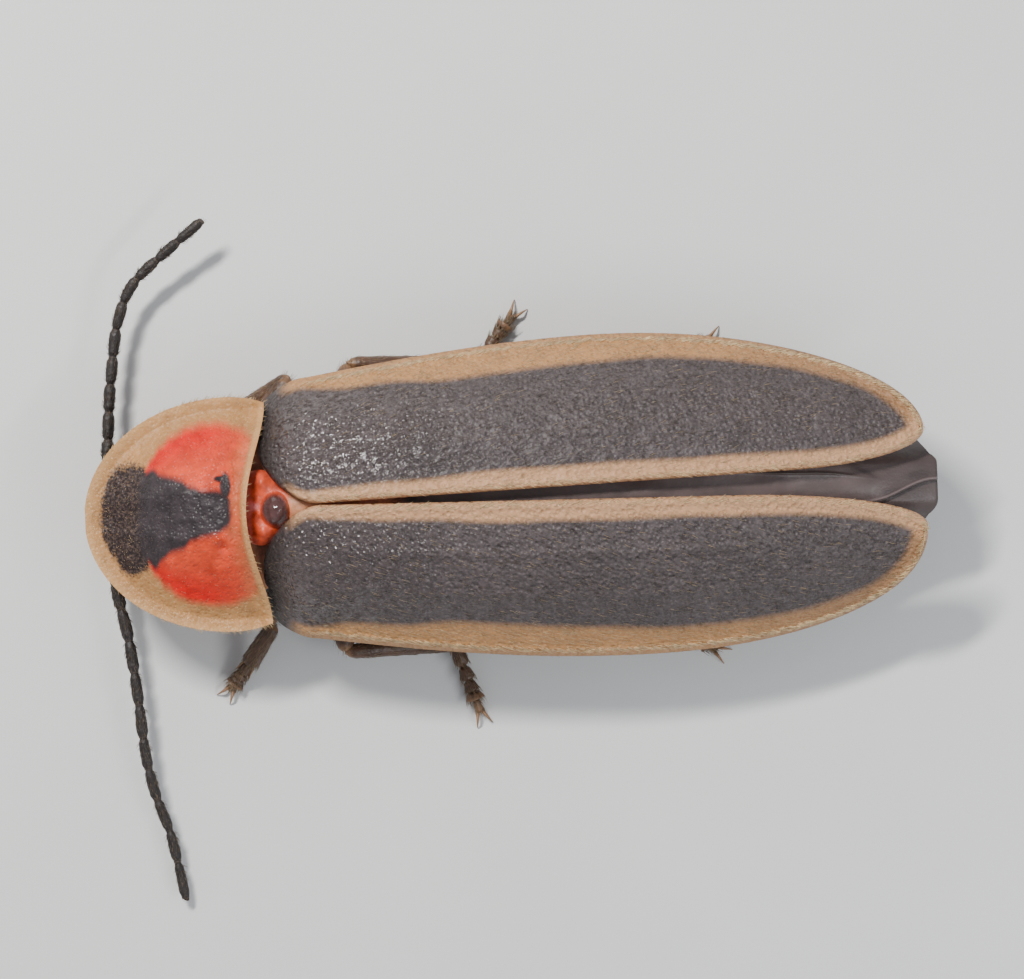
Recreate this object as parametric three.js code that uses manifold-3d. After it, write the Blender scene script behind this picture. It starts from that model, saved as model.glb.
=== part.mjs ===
// A small firefly at rest, life size, in millimetres. The head points to -X, +Y is the animal's right side and
// the floor is z = 0. The origin is on the belly's resting flat, under the widest place of the wing cases.
import * as THREE from "three";
import { mergeVertices } from "three/addons/utils/BufferGeometryUtils.js";
import Module from "manifold-3d";

const wasm = await Module();
wasm.setup();

// Shared sizes
const gap = 0.06; // between pieces that touch on the animal
const thin = 0.45; // wing cases, wings, legs and feelers are about this thick, except at their tips
const left = -1;
const right = 1;

// Wing cases. The right one lies open a little wider than the left and is tipped more, so it looks narrower.
// tipRun is how far before its rear end a case's inner edge starts to curve away from the other case.
const caseLength = 5.57;
const caseBaseX = -2.82;
const hingeX = -2.47;
const sutureY = 0.02;
const casePoses = {
  wing_case_left: { side: left, opening: 1.05, spread: 1.03, roundness: 2.25, tipRun: 1.6 },
  wing_case_right: { side: right, opening: 1.62, spread: 0.975, roundness: 1.88, tipRun: 1.1 },
};
const caseBaseOffset = 0.62; // from the suture to the foremost point
const innerCornerRun = 0.46;
const shoulderRun = 0.4;
const shoulderWidth = 1.04;
const caseWidth = 1.24;
const widestRun = 2.82;
const apexOffset = 0.26; // from the suture to the rearmost point
const meanRoundness = 2.1;
const caseTop = 1.7;
const caseSideFall = 0.8;
const caseRearFall = 0.45;
const caseRearRun = 2.4;
const caseFrontFall = 0.26;
const caseFrontRun = 1.2;
const caseRollFall = 0.16;
const caseRollRun = 0.3;
const caseFoldWidth = 0.85; // the side fall never gets steeper than at this half width
const marginFrom = 0.85; // the pale margin flattens out from this share of the width
const marginLift = 0.05;
const caseEdge = 0.2;

// Shield over the head
const shieldFrontX = -4.4;
const shieldWidestX = -3.15;
const shieldCornerX = -2.83;
const shieldCornerTuck = 0.06; // how much narrower the shield is at its rear corners
const shieldBow = 0.17; // how far the rear edge curves forward in the middle
const shieldHalfWidth = 1.0;
const shieldShiftY = -0.035;
const shieldRimTop = 0.92;
const shieldDome = 0.55;
const shieldFurrow = 0.04;
const shieldEdge = 0.2;
const shieldMiddle = 0.3;

// Trunk
const prothorax = { front: -3.42, rear: -2.99, halfWidth: 0.56, low: 0.3, middle: 0.62, high: 1.2 };
const thorax = { front: -2.9, rear: -1.44, halfWidth: 0.74, low: 0.3 };
const scutellumShiftY = 0.012;
const abdomenFront = -1.38;
const abdomenEnd = 2.52;
const segmentLengths = [0.52, 0.56, 0.6, 0.58, 0.54, 0.5, 0.36, 0.24];
const lanternFrom = 4; // the fifth and sixth segments glow
const lanternTo = 6;

// Head
const headAt = new THREE.Vector3(-3.79, shieldShiftY, 0.5);
const headHalf = new THREE.Vector3(0.31, 0.4, 0.29);
const snoutAt = new THREE.Vector3(-3.97, shieldShiftY, 0.4);
const snoutHalf = new THREE.Vector3(0.16, 0.2, 0.15);
const eyeRadius = 0.21;
const eyeOffset = new THREE.Vector3(-0.05, 0.37, 0.03);

// Finds a value between named stations, each [position, value], with a smooth change from one to the next.
function between(position, stations) {
  const next = stations.findIndex(([at]) => at >= position);
  if (next === 0) return stations[0][1];
  if (next < 0) return stations.at(-1)[1];
  const [fromAt, from] = stations[next - 1];
  const [toAt, to] = stations[next];
  const share = (position - fromAt) / (toAt - fromAt);
  return from + (to - from) * (share - Math.sin(2 * Math.PI * share) / (2 * Math.PI) * 0.6);
}

function quarterRound(share) {
  return Math.sqrt(Math.max(0, 1 - (1 - Math.min(share, 1)) ** 2));
}

function steps(count) {
  return Array.from({ length: count + 1 }, (_, i) => i / count);
}

// Steps from 0 to 1 that crowd towards both ends, where outlines are round.
function roundSteps(count) {
  return steps(count).map((s) => 0.5 - 0.5 * Math.cos(Math.PI * s));
}

// A closed geometry from points and triangles, with its faces turned outwards.
function closed(points, triangles) {
  let volume = 0;
  for (const [a, b, c] of triangles) volume += points[a].dot(points[b].clone().cross(points[c]));
  const facing = volume < 0 ? triangles.map(([a, b, c]) => [a, c, b]) : triangles;
  const geometry = new THREE.BufferGeometry().setFromPoints(points);
  geometry.setIndex(facing.flat());
  return geometry;
}

// A skin through rings of equal length, each end closed to a point.
function loft(rings, startTip, endTip) {
  const around = rings[0].length;
  const points = [...rings.flat(), startTip, endTip];
  const start = points.length - 2;
  const end = points.length - 1;
  const last = (rings.length - 1) * around;
  const triangles = [];
  for (let j = 0; j < around; j++) {
    const k = (j + 1) % around;
    triangles.push([start, k, j], [end, last + j, last + k]);
    for (let i = 0; i < rings.length - 1; i++) {
      const here = i * around;
      const there = here + around;
      triangles.push([here + j, here + k, there + k], [here + j, there + k, there + j]);
    }
  }
  return closed(points, triangles);
}

// A plate between two surfaces over the same grid. Both faces are split alike, so that they never cross.
function plate(along, across, top, bottom) {
  const columns = across.length;
  const rows = along.length;
  const upper = along.flatMap((s) => across.map((t) => top(s, t)));
  const lower = along.flatMap((s) => across.map((t) => bottom(s, t)));
  const under = upper.length;
  const triangles = [];
  const quad = (a, b, c, d) => triangles.push([a, b, c], [a, c, d]);
  for (let i = 0; i < rows - 1; i++) {
    const a = i * columns;
    const b = a + columns;
    for (let j = 0; j < columns - 1; j++) {
      quad(a + j, b + j, b + j + 1, a + j + 1);
      triangles.push([under + a + j, under + b + j + 1, under + b + j]);
      triangles.push([under + a + j, under + a + j + 1, under + b + j + 1]);
    }
    quad(a, under + a, under + b, b);
    quad(a + columns - 1, b + columns - 1, under + b + columns - 1, under + a + columns - 1);
  }
  const end = (rows - 1) * columns;
  for (let j = 0; j < columns - 1; j++) {
    quad(j, j + 1, under + j + 1, under + j);
    quad(end + j + 1, end + j, under + end + j, under + end + j + 1);
  }
  return closed([...upper, ...lower], triangles);
}

// A body of rings across X. Each ring has a half width, a top, a middle height where it is widest, and a bottom.
function trunk(stations, sides, swell = 0) {
  const ring = ({ x, halfWidth, high, middle, low }) =>
    steps(sides).slice(0, -1).map((share) => {
      const angle = 2 * Math.PI * share;
      const up = Math.sin(angle);
      const reach = up > 0 ? high - middle : middle - low;
      const out = Math.sign(Math.cos(angle)) * Math.abs(Math.cos(angle)) ** 0.8;
      const z = middle + up * (reach + swell);
      return new THREE.Vector3(x, out * (halfWidth + swell), Math.max(z, 0));
    });
  const tip = (station, reach) => new THREE.Vector3(station.x + reach, 0, station.middle);
  const rings = stations.map(ring);
  return loft(rings, tip(stations[0], -0.02 - swell), tip(stations.at(-1), 0.02 + swell));
}

// A limb through stations, each { at, wide, high }: its half width level with the floor, and its half height.
function limb(stations, sides) {
  const direction = (i) => {
    const from = stations[Math.max(i - 1, 0)].at;
    const to = stations[Math.min(i + 1, stations.length - 1)].at;
    return to.clone().sub(from).normalize();
  };
  const vertical = new THREE.Vector3(0, 0, 1);
  const rings = stations.map(({ at, wide, high }, i) => {
    const along = direction(i);
    const side = along.clone().cross(vertical).normalize();
    const up = side.clone().cross(along).normalize();
    return steps(sides).slice(0, -1).map((share) => {
      const angle = 2 * Math.PI * share;
      const point = at.clone()
        .addScaledVector(side, wide * Math.cos(angle))
        .addScaledVector(up, high * Math.sin(angle));
      point.z = Math.max(point.z, 0);
      return point;
    });
  });
  const cap = (i, sign) => {
    const { at, wide } = stations[i];
    const point = at.clone().addScaledVector(direction(i), sign * wide * 0.5);
    point.z = Math.max(point.z, 0.02);
    return point;
  };
  return loft(rings, cap(0, -1), cap(stations.length - 1, 1));
}

function ellipsoid(at, half, sides = 16, rows = 10) {
  const geometry = new THREE.SphereGeometry(1, sides, rows);
  return geometry.scale(half.x, half.y, half.z).translate(at.x, at.y, at.z);
}

function solid(geometry) {
  const bare = new THREE.BufferGeometry();
  bare.setAttribute("position", geometry.getAttribute("position"));
  bare.setIndex(geometry.index);
  const merged = mergeVertices(bare, 1e-5);
  return new wasm.Manifold(new wasm.Mesh({
    numProp: 3,
    vertProperties: new Float32Array(merged.getAttribute("position").array),
    triVerts: new Uint32Array(merged.index.array),
  }));
}

// The largest closed body of a solid, as a geometry.
function geometryOf(manifold) {
  const bodies = manifold.decompose().sort((a, b) => b.volume() - a.volume());
  const mesh = bodies[0].getMesh();
  const geometry = new THREE.BufferGeometry();
  const positions = [];
  for (let i = 0; i < mesh.numVert; i++) {
    positions.push(...mesh.vertProperties.slice(i * mesh.numProp, i * mesh.numProp + 3));
  }
  geometry.setAttribute("position", new THREE.Float32BufferAttribute(positions, 3));
  geometry.setIndex([...mesh.triVerts]);
  return geometry;
}

function joined(geometries) {
  return geometries.map(solid).reduce((whole, piece) => whole.add(piece));
}

const materials = {
  case: new THREE.MeshStandardMaterial({ color: 0x3b3431, roughness: 0.55 }),
  shield: new THREE.MeshStandardMaterial({ color: 0xb5895a, roughness: 0.5 }),
  scutellum: new THREE.MeshStandardMaterial({ color: 0xb0512f, roughness: 0.4 }),
  wing: new THREE.MeshStandardMaterial({ color: 0x3d3435, roughness: 0.45 }),
  trunk: new THREE.MeshStandardMaterial({ color: 0x3a2a22, roughness: 0.5 }),
  lantern: new THREE.MeshStandardMaterial({ color: 0xe2dba8, roughness: 0.6 }),
  head: new THREE.MeshStandardMaterial({ color: 0x2a1f1a, roughness: 0.45 }),
  eye: new THREE.MeshStandardMaterial({ color: 0x0b0a0b, roughness: 0.15 }),
  antenna: new THREE.MeshStandardMaterial({ color: 0x241b18, roughness: 0.6 }),
  leg: new THREE.MeshStandardMaterial({ color: 0x4a3427, roughness: 0.5 }),
};

const firefly = new THREE.Group();

function add(name, geometry, material, parent = firefly) {
  const mesh = new THREE.Mesh(geometry, material);
  mesh.name = name;
  parent.add(mesh);
  return mesh;
}

// Wing cases: a plate whose outline, seen from above, runs from the suture (0) to the outer edge (1).
function caseInnerEdge(run, tipRun) {
  if (run < innerCornerRun) return caseBaseOffset * (1 - quarterRound(run / innerCornerRun));
  const late = Math.max(0, run - (caseLength - tipRun)) / tipRun;
  return apexOffset * (1 - Math.sqrt(1 - late ** 2));
}

function caseOuterEdge(run, roundness = meanRoundness) {
  if (run < shoulderRun) {
    return caseBaseOffset + (shoulderWidth - caseBaseOffset) * quarterRound(run / shoulderRun);
  }
  if (run < widestRun) {
    const share = (run - shoulderRun) / (widestRun - shoulderRun);
    return shoulderWidth + (caseWidth - shoulderWidth) * Math.sin((share * Math.PI) / 2);
  }
  const share = (run - widestRun) / (caseLength - widestRun);
  const round = Math.max(0, 1 - Math.min(share, 1) ** roundness) ** (1 / roundness);
  return apexOffset + (caseWidth - apexOffset) * round;
}

// Height of the wing cases' outer face, also where the wings lie below them.
function caseHeight(run, y) {
  const outer = Math.max(caseOuterEdge(run), caseFoldWidth);
  const front = Math.max(0, 1 - run / caseFrontRun);
  const roll = Math.max(0, 1 - run / caseRollRun);
  const rear = Math.max(0, run - caseRearRun) / (caseLength - caseRearRun);
  const ridge = caseTop - caseFrontFall * front ** 2 - caseRollFall * roll ** 2 - caseRearFall * rear ** 2;
  return ridge - caseSideFall * (outer / caseWidth) * (y / outer) ** 2.5;
}

function caseSurface(run, share, { roundness, tipRun }) {
  const inner = caseInnerEdge(run, tipRun);
  const outer = caseOuterEdge(run, roundness);
  const y = inner + (outer - inner) * share;
  const margin = Math.max(0, (y / outer - marginFrom) / (1 - marginFrom));
  return new THREE.Vector3(run, y, caseHeight(run, y) + marginLift * margin ** 2);
}

function caseThickness(run, share) {
  const atEdge = (2 * share - 1) ** 6;
  const atEnd = Math.abs((2 * run) / caseLength - 1) ** 12;
  return caseEdge + (thin - caseEdge) * (1 - atEdge) * (1 - atEnd);
}

function wingCase(pose) {
  const along = roundSteps(30).map((s) => caseLength * (0.004 + 0.992 * s));
  const across = [0, 0.06, 0.16, 0.3, 0.45, 0.6, 0.74, 0.86, 0.94, 1];
  const top = (run, share) => caseSurface(run, share, pose);
  const bottom = (run, share) => {
    const point = caseSurface(run, share, pose);
    point.z -= caseThickness(run, share);
    return point;
  };
  const geometry = plate(along, across, top, bottom);
  geometry.scale(1, pose.side * pose.spread, 1);
  geometry.translate(caseBaseX - hingeX, pose.side * 0.5 * gap, 0);
  if (pose.side < 0) geometry.setIndex([...geometry.index.array].reverse());
  return geometry;
}

for (const [name, pose] of Object.entries(casePoses)) {
  const mesh = add(name, wingCase(pose), materials.case);
  mesh.position.set(hingeX, sutureY, 0);
  mesh.rotation.z = pose.side * THREE.MathUtils.degToRad(pose.opening);
}

// The shield: half an ellipse from above, domed in the middle, with a flat rim.
function shieldPoint(share, turn) {
  const x = shieldFrontX + (shieldCornerX - shieldFrontX) * share;
  const toWidest = (shieldWidestX - x) / (shieldWidestX - shieldFrontX);
  const behind = Math.max(0, x - shieldWidestX) / (shieldCornerX - shieldWidestX);
  const round = Math.sqrt(Math.max(0, 1 - Math.max(0, toWidest) ** 2));
  const y = (shieldHalfWidth * round - shieldCornerTuck * behind ** 2) * turn;
  const bowed = x - shieldBow * (1 - turn ** 2) ** 2 * Math.max(0, share) ** 3;
  const radius = Math.hypot(Math.max(0, shieldWidestX - bowed) / (shieldWidestX - shieldFrontX), y / shieldHalfWidth);
  const dome = Math.max(0, 1 - (radius / 0.9) ** 2) ** 1.3;
  const lift = 0.05 * Math.max(0, radius - 0.8) + 0.03 * Math.max(0, (share - 0.93) / 0.07);
  const furrow = shieldFurrow * Math.max(0, 1 - (turn / 0.2) ** 2) * Math.sin(Math.PI * share);
  return { point: new THREE.Vector3(bowed, y, shieldRimTop + shieldDome * dome + lift - furrow), dome };
}

const shieldPlate = plate(
  roundSteps(18).map((s) => 0.004 + 0.996 * s),
  [-1, -0.93, -0.84, -0.72, -0.58, -0.4, -0.2, 0, 0.2, 0.4, 0.58, 0.72, 0.84, 0.93, 1],
  (s, t) => shieldPoint(s, t).point,
  (s, t) => {
    const { point, dome } = shieldPoint(s, t);
    point.z -= shieldEdge + (shieldMiddle - shieldEdge) * dome;
    return point;
  },
);

function prothoraxBlock(swell) {
  const { front, rear, halfWidth, middle, low, high } = prothorax;
  return trunk(
    [
      { x: front, halfWidth: 0.34, high: 1.0, middle, low: 0.42 },
      { x: front + 0.1, halfWidth, high, middle, low: 0.34 },
      { x: -3.15, halfWidth, high, middle, low },
      { x: rear - 0.08, halfWidth, high, middle, low: 0.34 },
      { x: rear, halfWidth: 0.4, high: 1.0, middle, low: 0.44 },
    ],
    18,
    swell,
  );
}
const shield = joined([shieldPlate, prothoraxBlock(0)]).translate([0, shieldShiftY, 0]);
add("pronotum", geometryOf(shield), materials.shield);

// The middle and hind thorax carry the wing cases, the wings and four legs.
function thoraxBody(swell) {
  const { front, rear, halfWidth, low } = thorax;
  return trunk(
    [
      { x: front, halfWidth: 0.5, high: 0.88, middle: 0.56, low: 0.42 },
      { x: front + 0.08, halfWidth: 0.66, high: 1.0, middle: 0.56, low: 0.38 },
      { x: -2.5, halfWidth, high: 1.0, middle: 0.58, low },
      { x: -2.1, halfWidth, high: 1.0, middle: 0.58, low },
      { x: -1.86, halfWidth: halfWidth - 0.02, high: 0.68, middle: 0.54, low },
      { x: rear - 0.08, halfWidth: halfWidth - 0.06, high: 0.62, middle: 0.5, low: low + 0.03 },
      { x: rear, halfWidth: halfWidth - 0.18, high: 0.58, middle: 0.48, low: low + 0.08 },
    ],
    18,
    swell,
  );
}
add("thorax", thoraxBody(0), materials.trunk);

// The scutellum fills the notch between the shield and the wing cases and ends in a point.
const scutellum = trunk(
  [
    { x: -2.93, halfWidth: 0.28, high: 1.24, middle: 1.14, low: 1.07 },
    { x: -2.87, halfWidth: 0.34, high: 1.34, middle: 1.16, low: 1.06 },
    { x: -2.79, halfWidth: 0.26, high: 1.4, middle: 1.17, low: 1.06 },
    { x: -2.72, halfWidth: 0.15, high: 1.4, middle: 1.18, low: 1.06 },
    { x: -2.64, halfWidth: 0.07, high: 1.37, middle: 1.2, low: 1.08 },
    { x: -2.55, halfWidth: 0.02, high: 1.32, middle: 1.24, low: 1.18 },
  ],
  14,
).translate(0, scutellumShiftY, 0);
add("scutellum", scutellum, materials.scutellum);

// Abdomen: eight overlapping segments, three nodes with the glowing pair in the middle.
const abdomenHalfWidth = [[-1.4, 0.5], [-0.9, 0.66], [0, 0.84], [0.8, 0.88], [1.6, 0.76], [2.2, 0.5], [2.55, 0.2]];
const abdomenLow = [[-1.4, 0.46], [-0.9, 0.26], [-0.25, -0.03], [1.6, -0.03], [2.1, 0.03], [2.55, 0.1]];
const abdomenHigh = [[-1.4, 0.58], [-0.9, 0.66], [0, 0.7], [0.6, 0.68], [1.2, 0.6], [2.0, 0.44], [2.55, 0.3]];

function abdomenStation(x, shrink) {
  const high = between(x, abdomenHigh);
  const low = between(x, abdomenLow);
  const middle = low + (high - low) * 0.6;
  return {
    x,
    halfWidth: between(x, abdomenHalfWidth) * shrink,
    high: middle + (high - middle) * shrink,
    middle,
    low: middle + (low - middle) * (low < 0 ? 1 : shrink),
  };
}

function abdomenSegments(from, to) {
  const stations = [];
  let x = abdomenFront;
  segmentLengths.forEach((length, i) => {
    if (i >= from && i < to) {
      const start = i === from && from > 0 ? x + gap : x;
      stations.push(abdomenStation(start, 0.93), abdomenStation(start + 0.07, 0.98));
      stations.push(abdomenStation(x + length - 0.03, 1));
    }
    x += length;
  });
  return trunk(stations, 18);
}
add("abdomen", abdomenSegments(0, lanternFrom), materials.trunk);
add("lantern", abdomenSegments(lanternFrom, lanternTo), materials.lantern);
add("abdomen_tip", abdomenSegments(lanternTo, segmentLengths.length), materials.trunk);

// Folded hind wings: one plate a side under the wing cases, reaching a little past them, with raised veins.
const wingRootX = -1.9;
const wingTipX = 2.87;
const wingHalfWidth = [[-1.95, 0.3], [-1.5, 0.62], [-0.5, 0.86], [0.8, 0.92], [1.8, 0.74], [2.5, 0.46], [2.9, 0.24]];
const wingThickness = 0.9 * thin;
const veinShares = [0.28, 0.6];
const veinHalfWidth = 0.05;
const veinHeight = 0.03;

function foldedWing(side) {
  const top = (s, t) => {
    const x = wingRootX + (wingTipX - wingRootX) * s;
    const y = gap / 2 + (between(x, wingHalfWidth) - gap / 2) * t;
    const vein = veinShares.includes(t) ? veinHeight : 0;
    return new THREE.Vector3(x, side * y, caseHeight(x - caseBaseX, y) - thin - gap - veinHeight + vein);
  };
  const bottom = (s, t) => {
    const point = top(s, t);
    point.z -= wingThickness - 0.14 * t ** 4;
    return point;
  };
  const beside = veinShares.flatMap((share) => [share - veinHalfWidth, share, share + veinHalfWidth]);
  return plate(steps(16), [0, 0.14, ...beside, 0.44, 0.8, 1].sort((a, b) => a - b), top, bottom);
}
add("hind_wing_left", foldedWing(left), materials.wing);
add("hind_wing_right", foldedWing(right), materials.wing);

// Head, with a socket cut for each eye, a pair of curved jaws and feeler-like palps below.
function eyeAt(side) {
  return headAt.clone().add(new THREE.Vector3(eyeOffset.x, side * eyeOffset.y, eyeOffset.z));
}

function ball(radius) {
  return new THREE.Vector3(radius, radius, radius);
}

const palps = [left, right].map((side) => limb(
  [
    { at: new THREE.Vector3(-3.9, shieldShiftY + side * 0.1, 0.34), wide: 0.07, high: 0.07 },
    { at: new THREE.Vector3(-4.0, shieldShiftY + side * 0.13, 0.25), wide: 0.07, high: 0.07 },
    { at: new THREE.Vector3(-4.08, shieldShiftY + side * 0.12, 0.17), wide: 0.05, high: 0.05 },
  ],
  8,
));
const jaws = [left, right].map((side) => limb(
  [
    { at: new THREE.Vector3(-4.0, shieldShiftY + side * 0.08, 0.3), wide: 0.06, high: 0.06 },
    { at: new THREE.Vector3(-4.1, shieldShiftY + side * 0.08, 0.25), wide: 0.05, high: 0.05 },
    { at: new THREE.Vector3(-4.18, shieldShiftY + side * 0.03, 0.21), wide: 0.02, high: 0.03 },
  ],
  8,
));
const cranium = ellipsoid(headAt, headHalf);
const snout = ellipsoid(snoutAt, snoutHalf, 12, 8);
const sockets = [left, right].map((side) => solid(ellipsoid(eyeAt(side), ball(eyeRadius + gap), 14, 9)));
const head = sockets.reduce((whole, socket) => whole.subtract(socket), joined([cranium, snout, ...jaws, ...palps]));
add("head", geometryOf(head), materials.head);
add("eye_left", ellipsoid(eyeAt(left), ball(eyeRadius), 14, 9), materials.eye);
add("eye_right", ellipsoid(eyeAt(right), ball(eyeRadius), 14, 9), materials.eye);

// Feelers of eleven joints. Each follows a curve out from under the shield's rim.
const feelerJoints = 11;
const feelerRoot = 0.5 * thin;
const feelerTip = 0.08;
const feelerPaths = {
  antenna_left: [
    [-4.03, -0.25, 0.42], [-4.2, -0.42, 0.36], [-4.17, -0.72, 0.33], [-4.1, -1.08, 0.3], [-4.04, -1.6, 0.27],
    [-4.0, -2.06, 0.24], [-3.93, -2.42, 0.2], [-3.81, -2.8, 0.16], [-3.71, -3.33, 0.12],
  ],
  antenna_right: [
    [-4.03, 0.18, 0.42], [-4.2, 0.34, 0.36], [-4.21, 0.55, 0.34], [-4.18, 0.97, 0.33], [-4.15, 1.23, 0.33],
    [-4.08, 1.65, 0.34], [-3.93, 1.98, 0.37], [-3.6, 2.27, 0.42], [-3.32, 2.49, 0.47],
  ],
};

function feeler(path) {
  const curve = new THREE.CatmullRomCurve3(path.map((p) => new THREE.Vector3(...p)));
  const stations = [];
  for (let joint = 0; joint < feelerJoints; joint++) {
    for (const share of [0.06, 0.5, 0.94]) {
      const along = (joint + share) / feelerJoints;
      const neck = share === 0.06 ? 0.84 : share === 0.5 ? 0.98 : 1;
      const root = joint === 0 ? 0.72 : 1;
      const half = (feelerRoot + (feelerTip - feelerRoot) * along) * neck * root;
      stations.push({ at: curve.getPointAt(along), wide: half, high: half });
    }
  }
  return limb(stations, 8);
}

const headSwollen = solid(ellipsoid(headAt, headHalf.clone().addScalar(gap)))
  .add(solid(ellipsoid(snoutAt, snoutHalf.clone().addScalar(gap), 12, 8)));
for (const [name, path] of Object.entries(feelerPaths)) {
  add(name, geometryOf(solid(feeler(path)).subtract(headSwollen)), materials.antenna);
}

// Legs: hip, thigh, shin and a foot of five joints with two claws, and their half thicknesses.
const thigh = 0.5 * thin;
const shin = 0.44 * thin;
const foot = 0.36 * thin;
const claw = 0.05;
const legs = {
  leg_front_left: {
    hip: [-3.16, -0.36, 0.24],
    knee: [-2.84, -1, 0.42],
    ankle: [-3.08, -1.34, 0.18],
    toe: [-3.24, -1.54, 0.05],
  },
  leg_front_right: {
    hip: [-3.16, 0.3, 0.24],
    knee: [-2.62, 1.12, 0.42],
    ankle: [-3.1, 0.82, 0.18],
    toe: [-3.42, 0.66, 0.05],
  },
  leg_middle_left: {
    hip: [-2.2, -0.4, 0.26],
    knee: [-2.24, -1.26, 0.4],
    ankle: [-1.3, -1.22, 0.18],
    toe: [-1.1, -1.84, 0.05],
  },
  leg_middle_right: {
    hip: [-2.2, 0.4, 0.26],
    knee: [-2.12, 1.22, 0.4],
    ankle: [-1.02, 1.16, 0.18],
    toe: [-0.68, 1.58, 0.05],
  },
  leg_hind_left: {
    hip: [-1.46, -0.42, 0.24],
    knee: [-0.4, -1.33, 0.36],
    ankle: [0.56, -1.12, 0.18],
    toe: [0.96, -1.38, 0.05],
  },
  leg_hind_right: {
    hip: [-1.46, 0.42, 0.24],
    knee: [-0.45, 1.24, 0.36],
    ankle: [0.6, 1.1, 0.18],
    toe: [1.02, 1.3, 0.05],
  },
};

function mix(from, to, share) {
  return from.clone().lerp(to, share);
}

function leg({ hip, knee, ankle, toe }) {
  const [a, b, c, d] = [hip, knee, ankle, toe].map((p) => new THREE.Vector3(...p));
  const hipJoint = ellipsoid(a, new THREE.Vector3(0.2, 0.18, 0.17), 10, 7);
  const thighPiece = limb(
    [[0.02, 0.7], [0.25, 0.95], [0.55, 1], [0.85, 0.86], [1, 0.72]].map(([share, size]) => ({
      at: mix(a, b, share),
      wide: thigh * size,
      high: thigh * size,
    })),
    10,
  );
  const shinPiece = limb(
    [[0, 0.8], [0.3, 0.92], [0.7, 1], [1, 0.94]].map(([share, size]) => ({
      at: mix(b, c, share),
      wide: shin * size,
      high: shin * size,
    })),
    8,
  );
  const footStations = [];
  for (let joint = 0; joint < 5; joint++) {
    const bilobed = joint === 3 ? 1.2 : 1;
    for (const [share, size] of [[0.08, 0.8], [0.85, bilobed]]) {
      const along = (joint + share) / 5;
      const half = foot * (1 - 0.5 * along) * size;
      footStations.push({ at: mix(c, d, along), wide: half, high: half });
    }
  }
  const footPiece = limb(footStations, 8);
  const forward = d.clone().sub(c).setZ(0).normalize();
  const sideways = new THREE.Vector3(-forward.y, forward.x, 0);
  const claws = [-1, 1].map((way) => {
    const root = mix(c, d, 0.97).addScaledVector(sideways, way * 0.03);
    const tip = root.clone().addScaledVector(forward, 0.13).addScaledVector(sideways, way * 0.06);
    return limb(
      [
        { at: root, wide: claw, high: claw },
        { at: mix(root, tip, 0.6).setZ(root.z + 0.01), wide: claw * 0.7, high: claw * 0.7 },
        { at: tip.setZ(0.04), wide: claw * 0.3, high: claw * 0.3 },
      ],
      6,
    );
  });
  return joined([hipJoint, thighPiece, shinPiece, footPiece, ...claws]);
}

// What a leg lies against, grown by the gap, is cut from it, so that each leg meets the body face to face.
const prothoraxSwollen = solid(prothoraxBlock(gap)).translate([0, shieldShiftY, 0]);
const trunkSwollen = solid(thoraxBody(gap)).add(prothoraxSwollen);
for (const [name, joints] of Object.entries(legs)) {
  add(name, geometryOf(leg(joints).subtract(trunkSwollen)), materials.leg);
}

export default firefly;
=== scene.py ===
"""The looks of a small firefly at rest. Shapes are worked out in millimetres and made in metres."""

import math

import bpy
import numpy as np
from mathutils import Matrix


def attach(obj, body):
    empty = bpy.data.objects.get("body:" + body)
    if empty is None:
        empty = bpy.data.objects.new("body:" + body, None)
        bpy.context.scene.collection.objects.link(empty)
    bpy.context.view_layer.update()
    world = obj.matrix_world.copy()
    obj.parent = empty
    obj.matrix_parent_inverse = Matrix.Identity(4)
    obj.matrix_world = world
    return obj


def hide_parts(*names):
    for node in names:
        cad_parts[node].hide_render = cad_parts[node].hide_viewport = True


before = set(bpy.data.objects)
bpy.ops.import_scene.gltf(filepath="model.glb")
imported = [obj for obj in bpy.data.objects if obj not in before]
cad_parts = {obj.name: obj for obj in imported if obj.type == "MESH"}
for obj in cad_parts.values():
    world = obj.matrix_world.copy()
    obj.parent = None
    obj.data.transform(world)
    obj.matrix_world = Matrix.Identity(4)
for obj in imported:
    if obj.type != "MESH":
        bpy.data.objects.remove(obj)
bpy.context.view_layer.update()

MM = 0.001
LEFT, RIGHT = -1, 1

# Wing cases: the same driving sizes as the solids. The right one is open a little wider and tipped more.
CASE_LENGTH = 5.57
CASE_BASE_X = -2.82
HINGE_X = -2.47
SUTURE_Y = 0.02
CASE_POSES = {
    "left": {"side": LEFT, "opening": 1.05, "spread": 1.03, "roundness": 2.25, "tip_run": 1.6},
    "right": {"side": RIGHT, "opening": 1.62, "spread": 0.975, "roundness": 1.88, "tip_run": 1.1},
}
CASE_BASE_OFFSET = 0.62
INNER_CORNER_RUN = 0.46
SHOULDER_RUN = 0.4
SHOULDER_WIDTH = 1.04
CASE_WIDTH = 1.24
WIDEST_RUN = 2.82
APEX_OFFSET = 0.26
MEAN_ROUNDNESS = 2.1
CASE_TOP = 1.7
CASE_SIDE_FALL = 0.8
CASE_REAR_FALL = 0.45
CASE_REAR_RUN = 2.4
CASE_FRONT_FALL = 0.26
CASE_FRONT_RUN = 1.2
CASE_ROLL_FALL = 0.16
CASE_ROLL_RUN = 0.3
CASE_FOLD_WIDTH = 0.85
MARGIN_FROM = 0.85
MARGIN_LIFT = 0.05
CASE_THICKNESS = 0.07
CASE_RIBS = ((0.34, 0.014), (0.62, 0.012))  # share across and height of each rib
BASE_TUCK = 0.05  # how far the shell reaches forward under the shield's rear rim
SUTURE_BAND = [(0, 0.0), (0.25, 0.05), (0.5, 0.09), (1.2, 0.115), (2.0, 0.15), (4.2, 0.135), (5.57, 0.115)]
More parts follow.
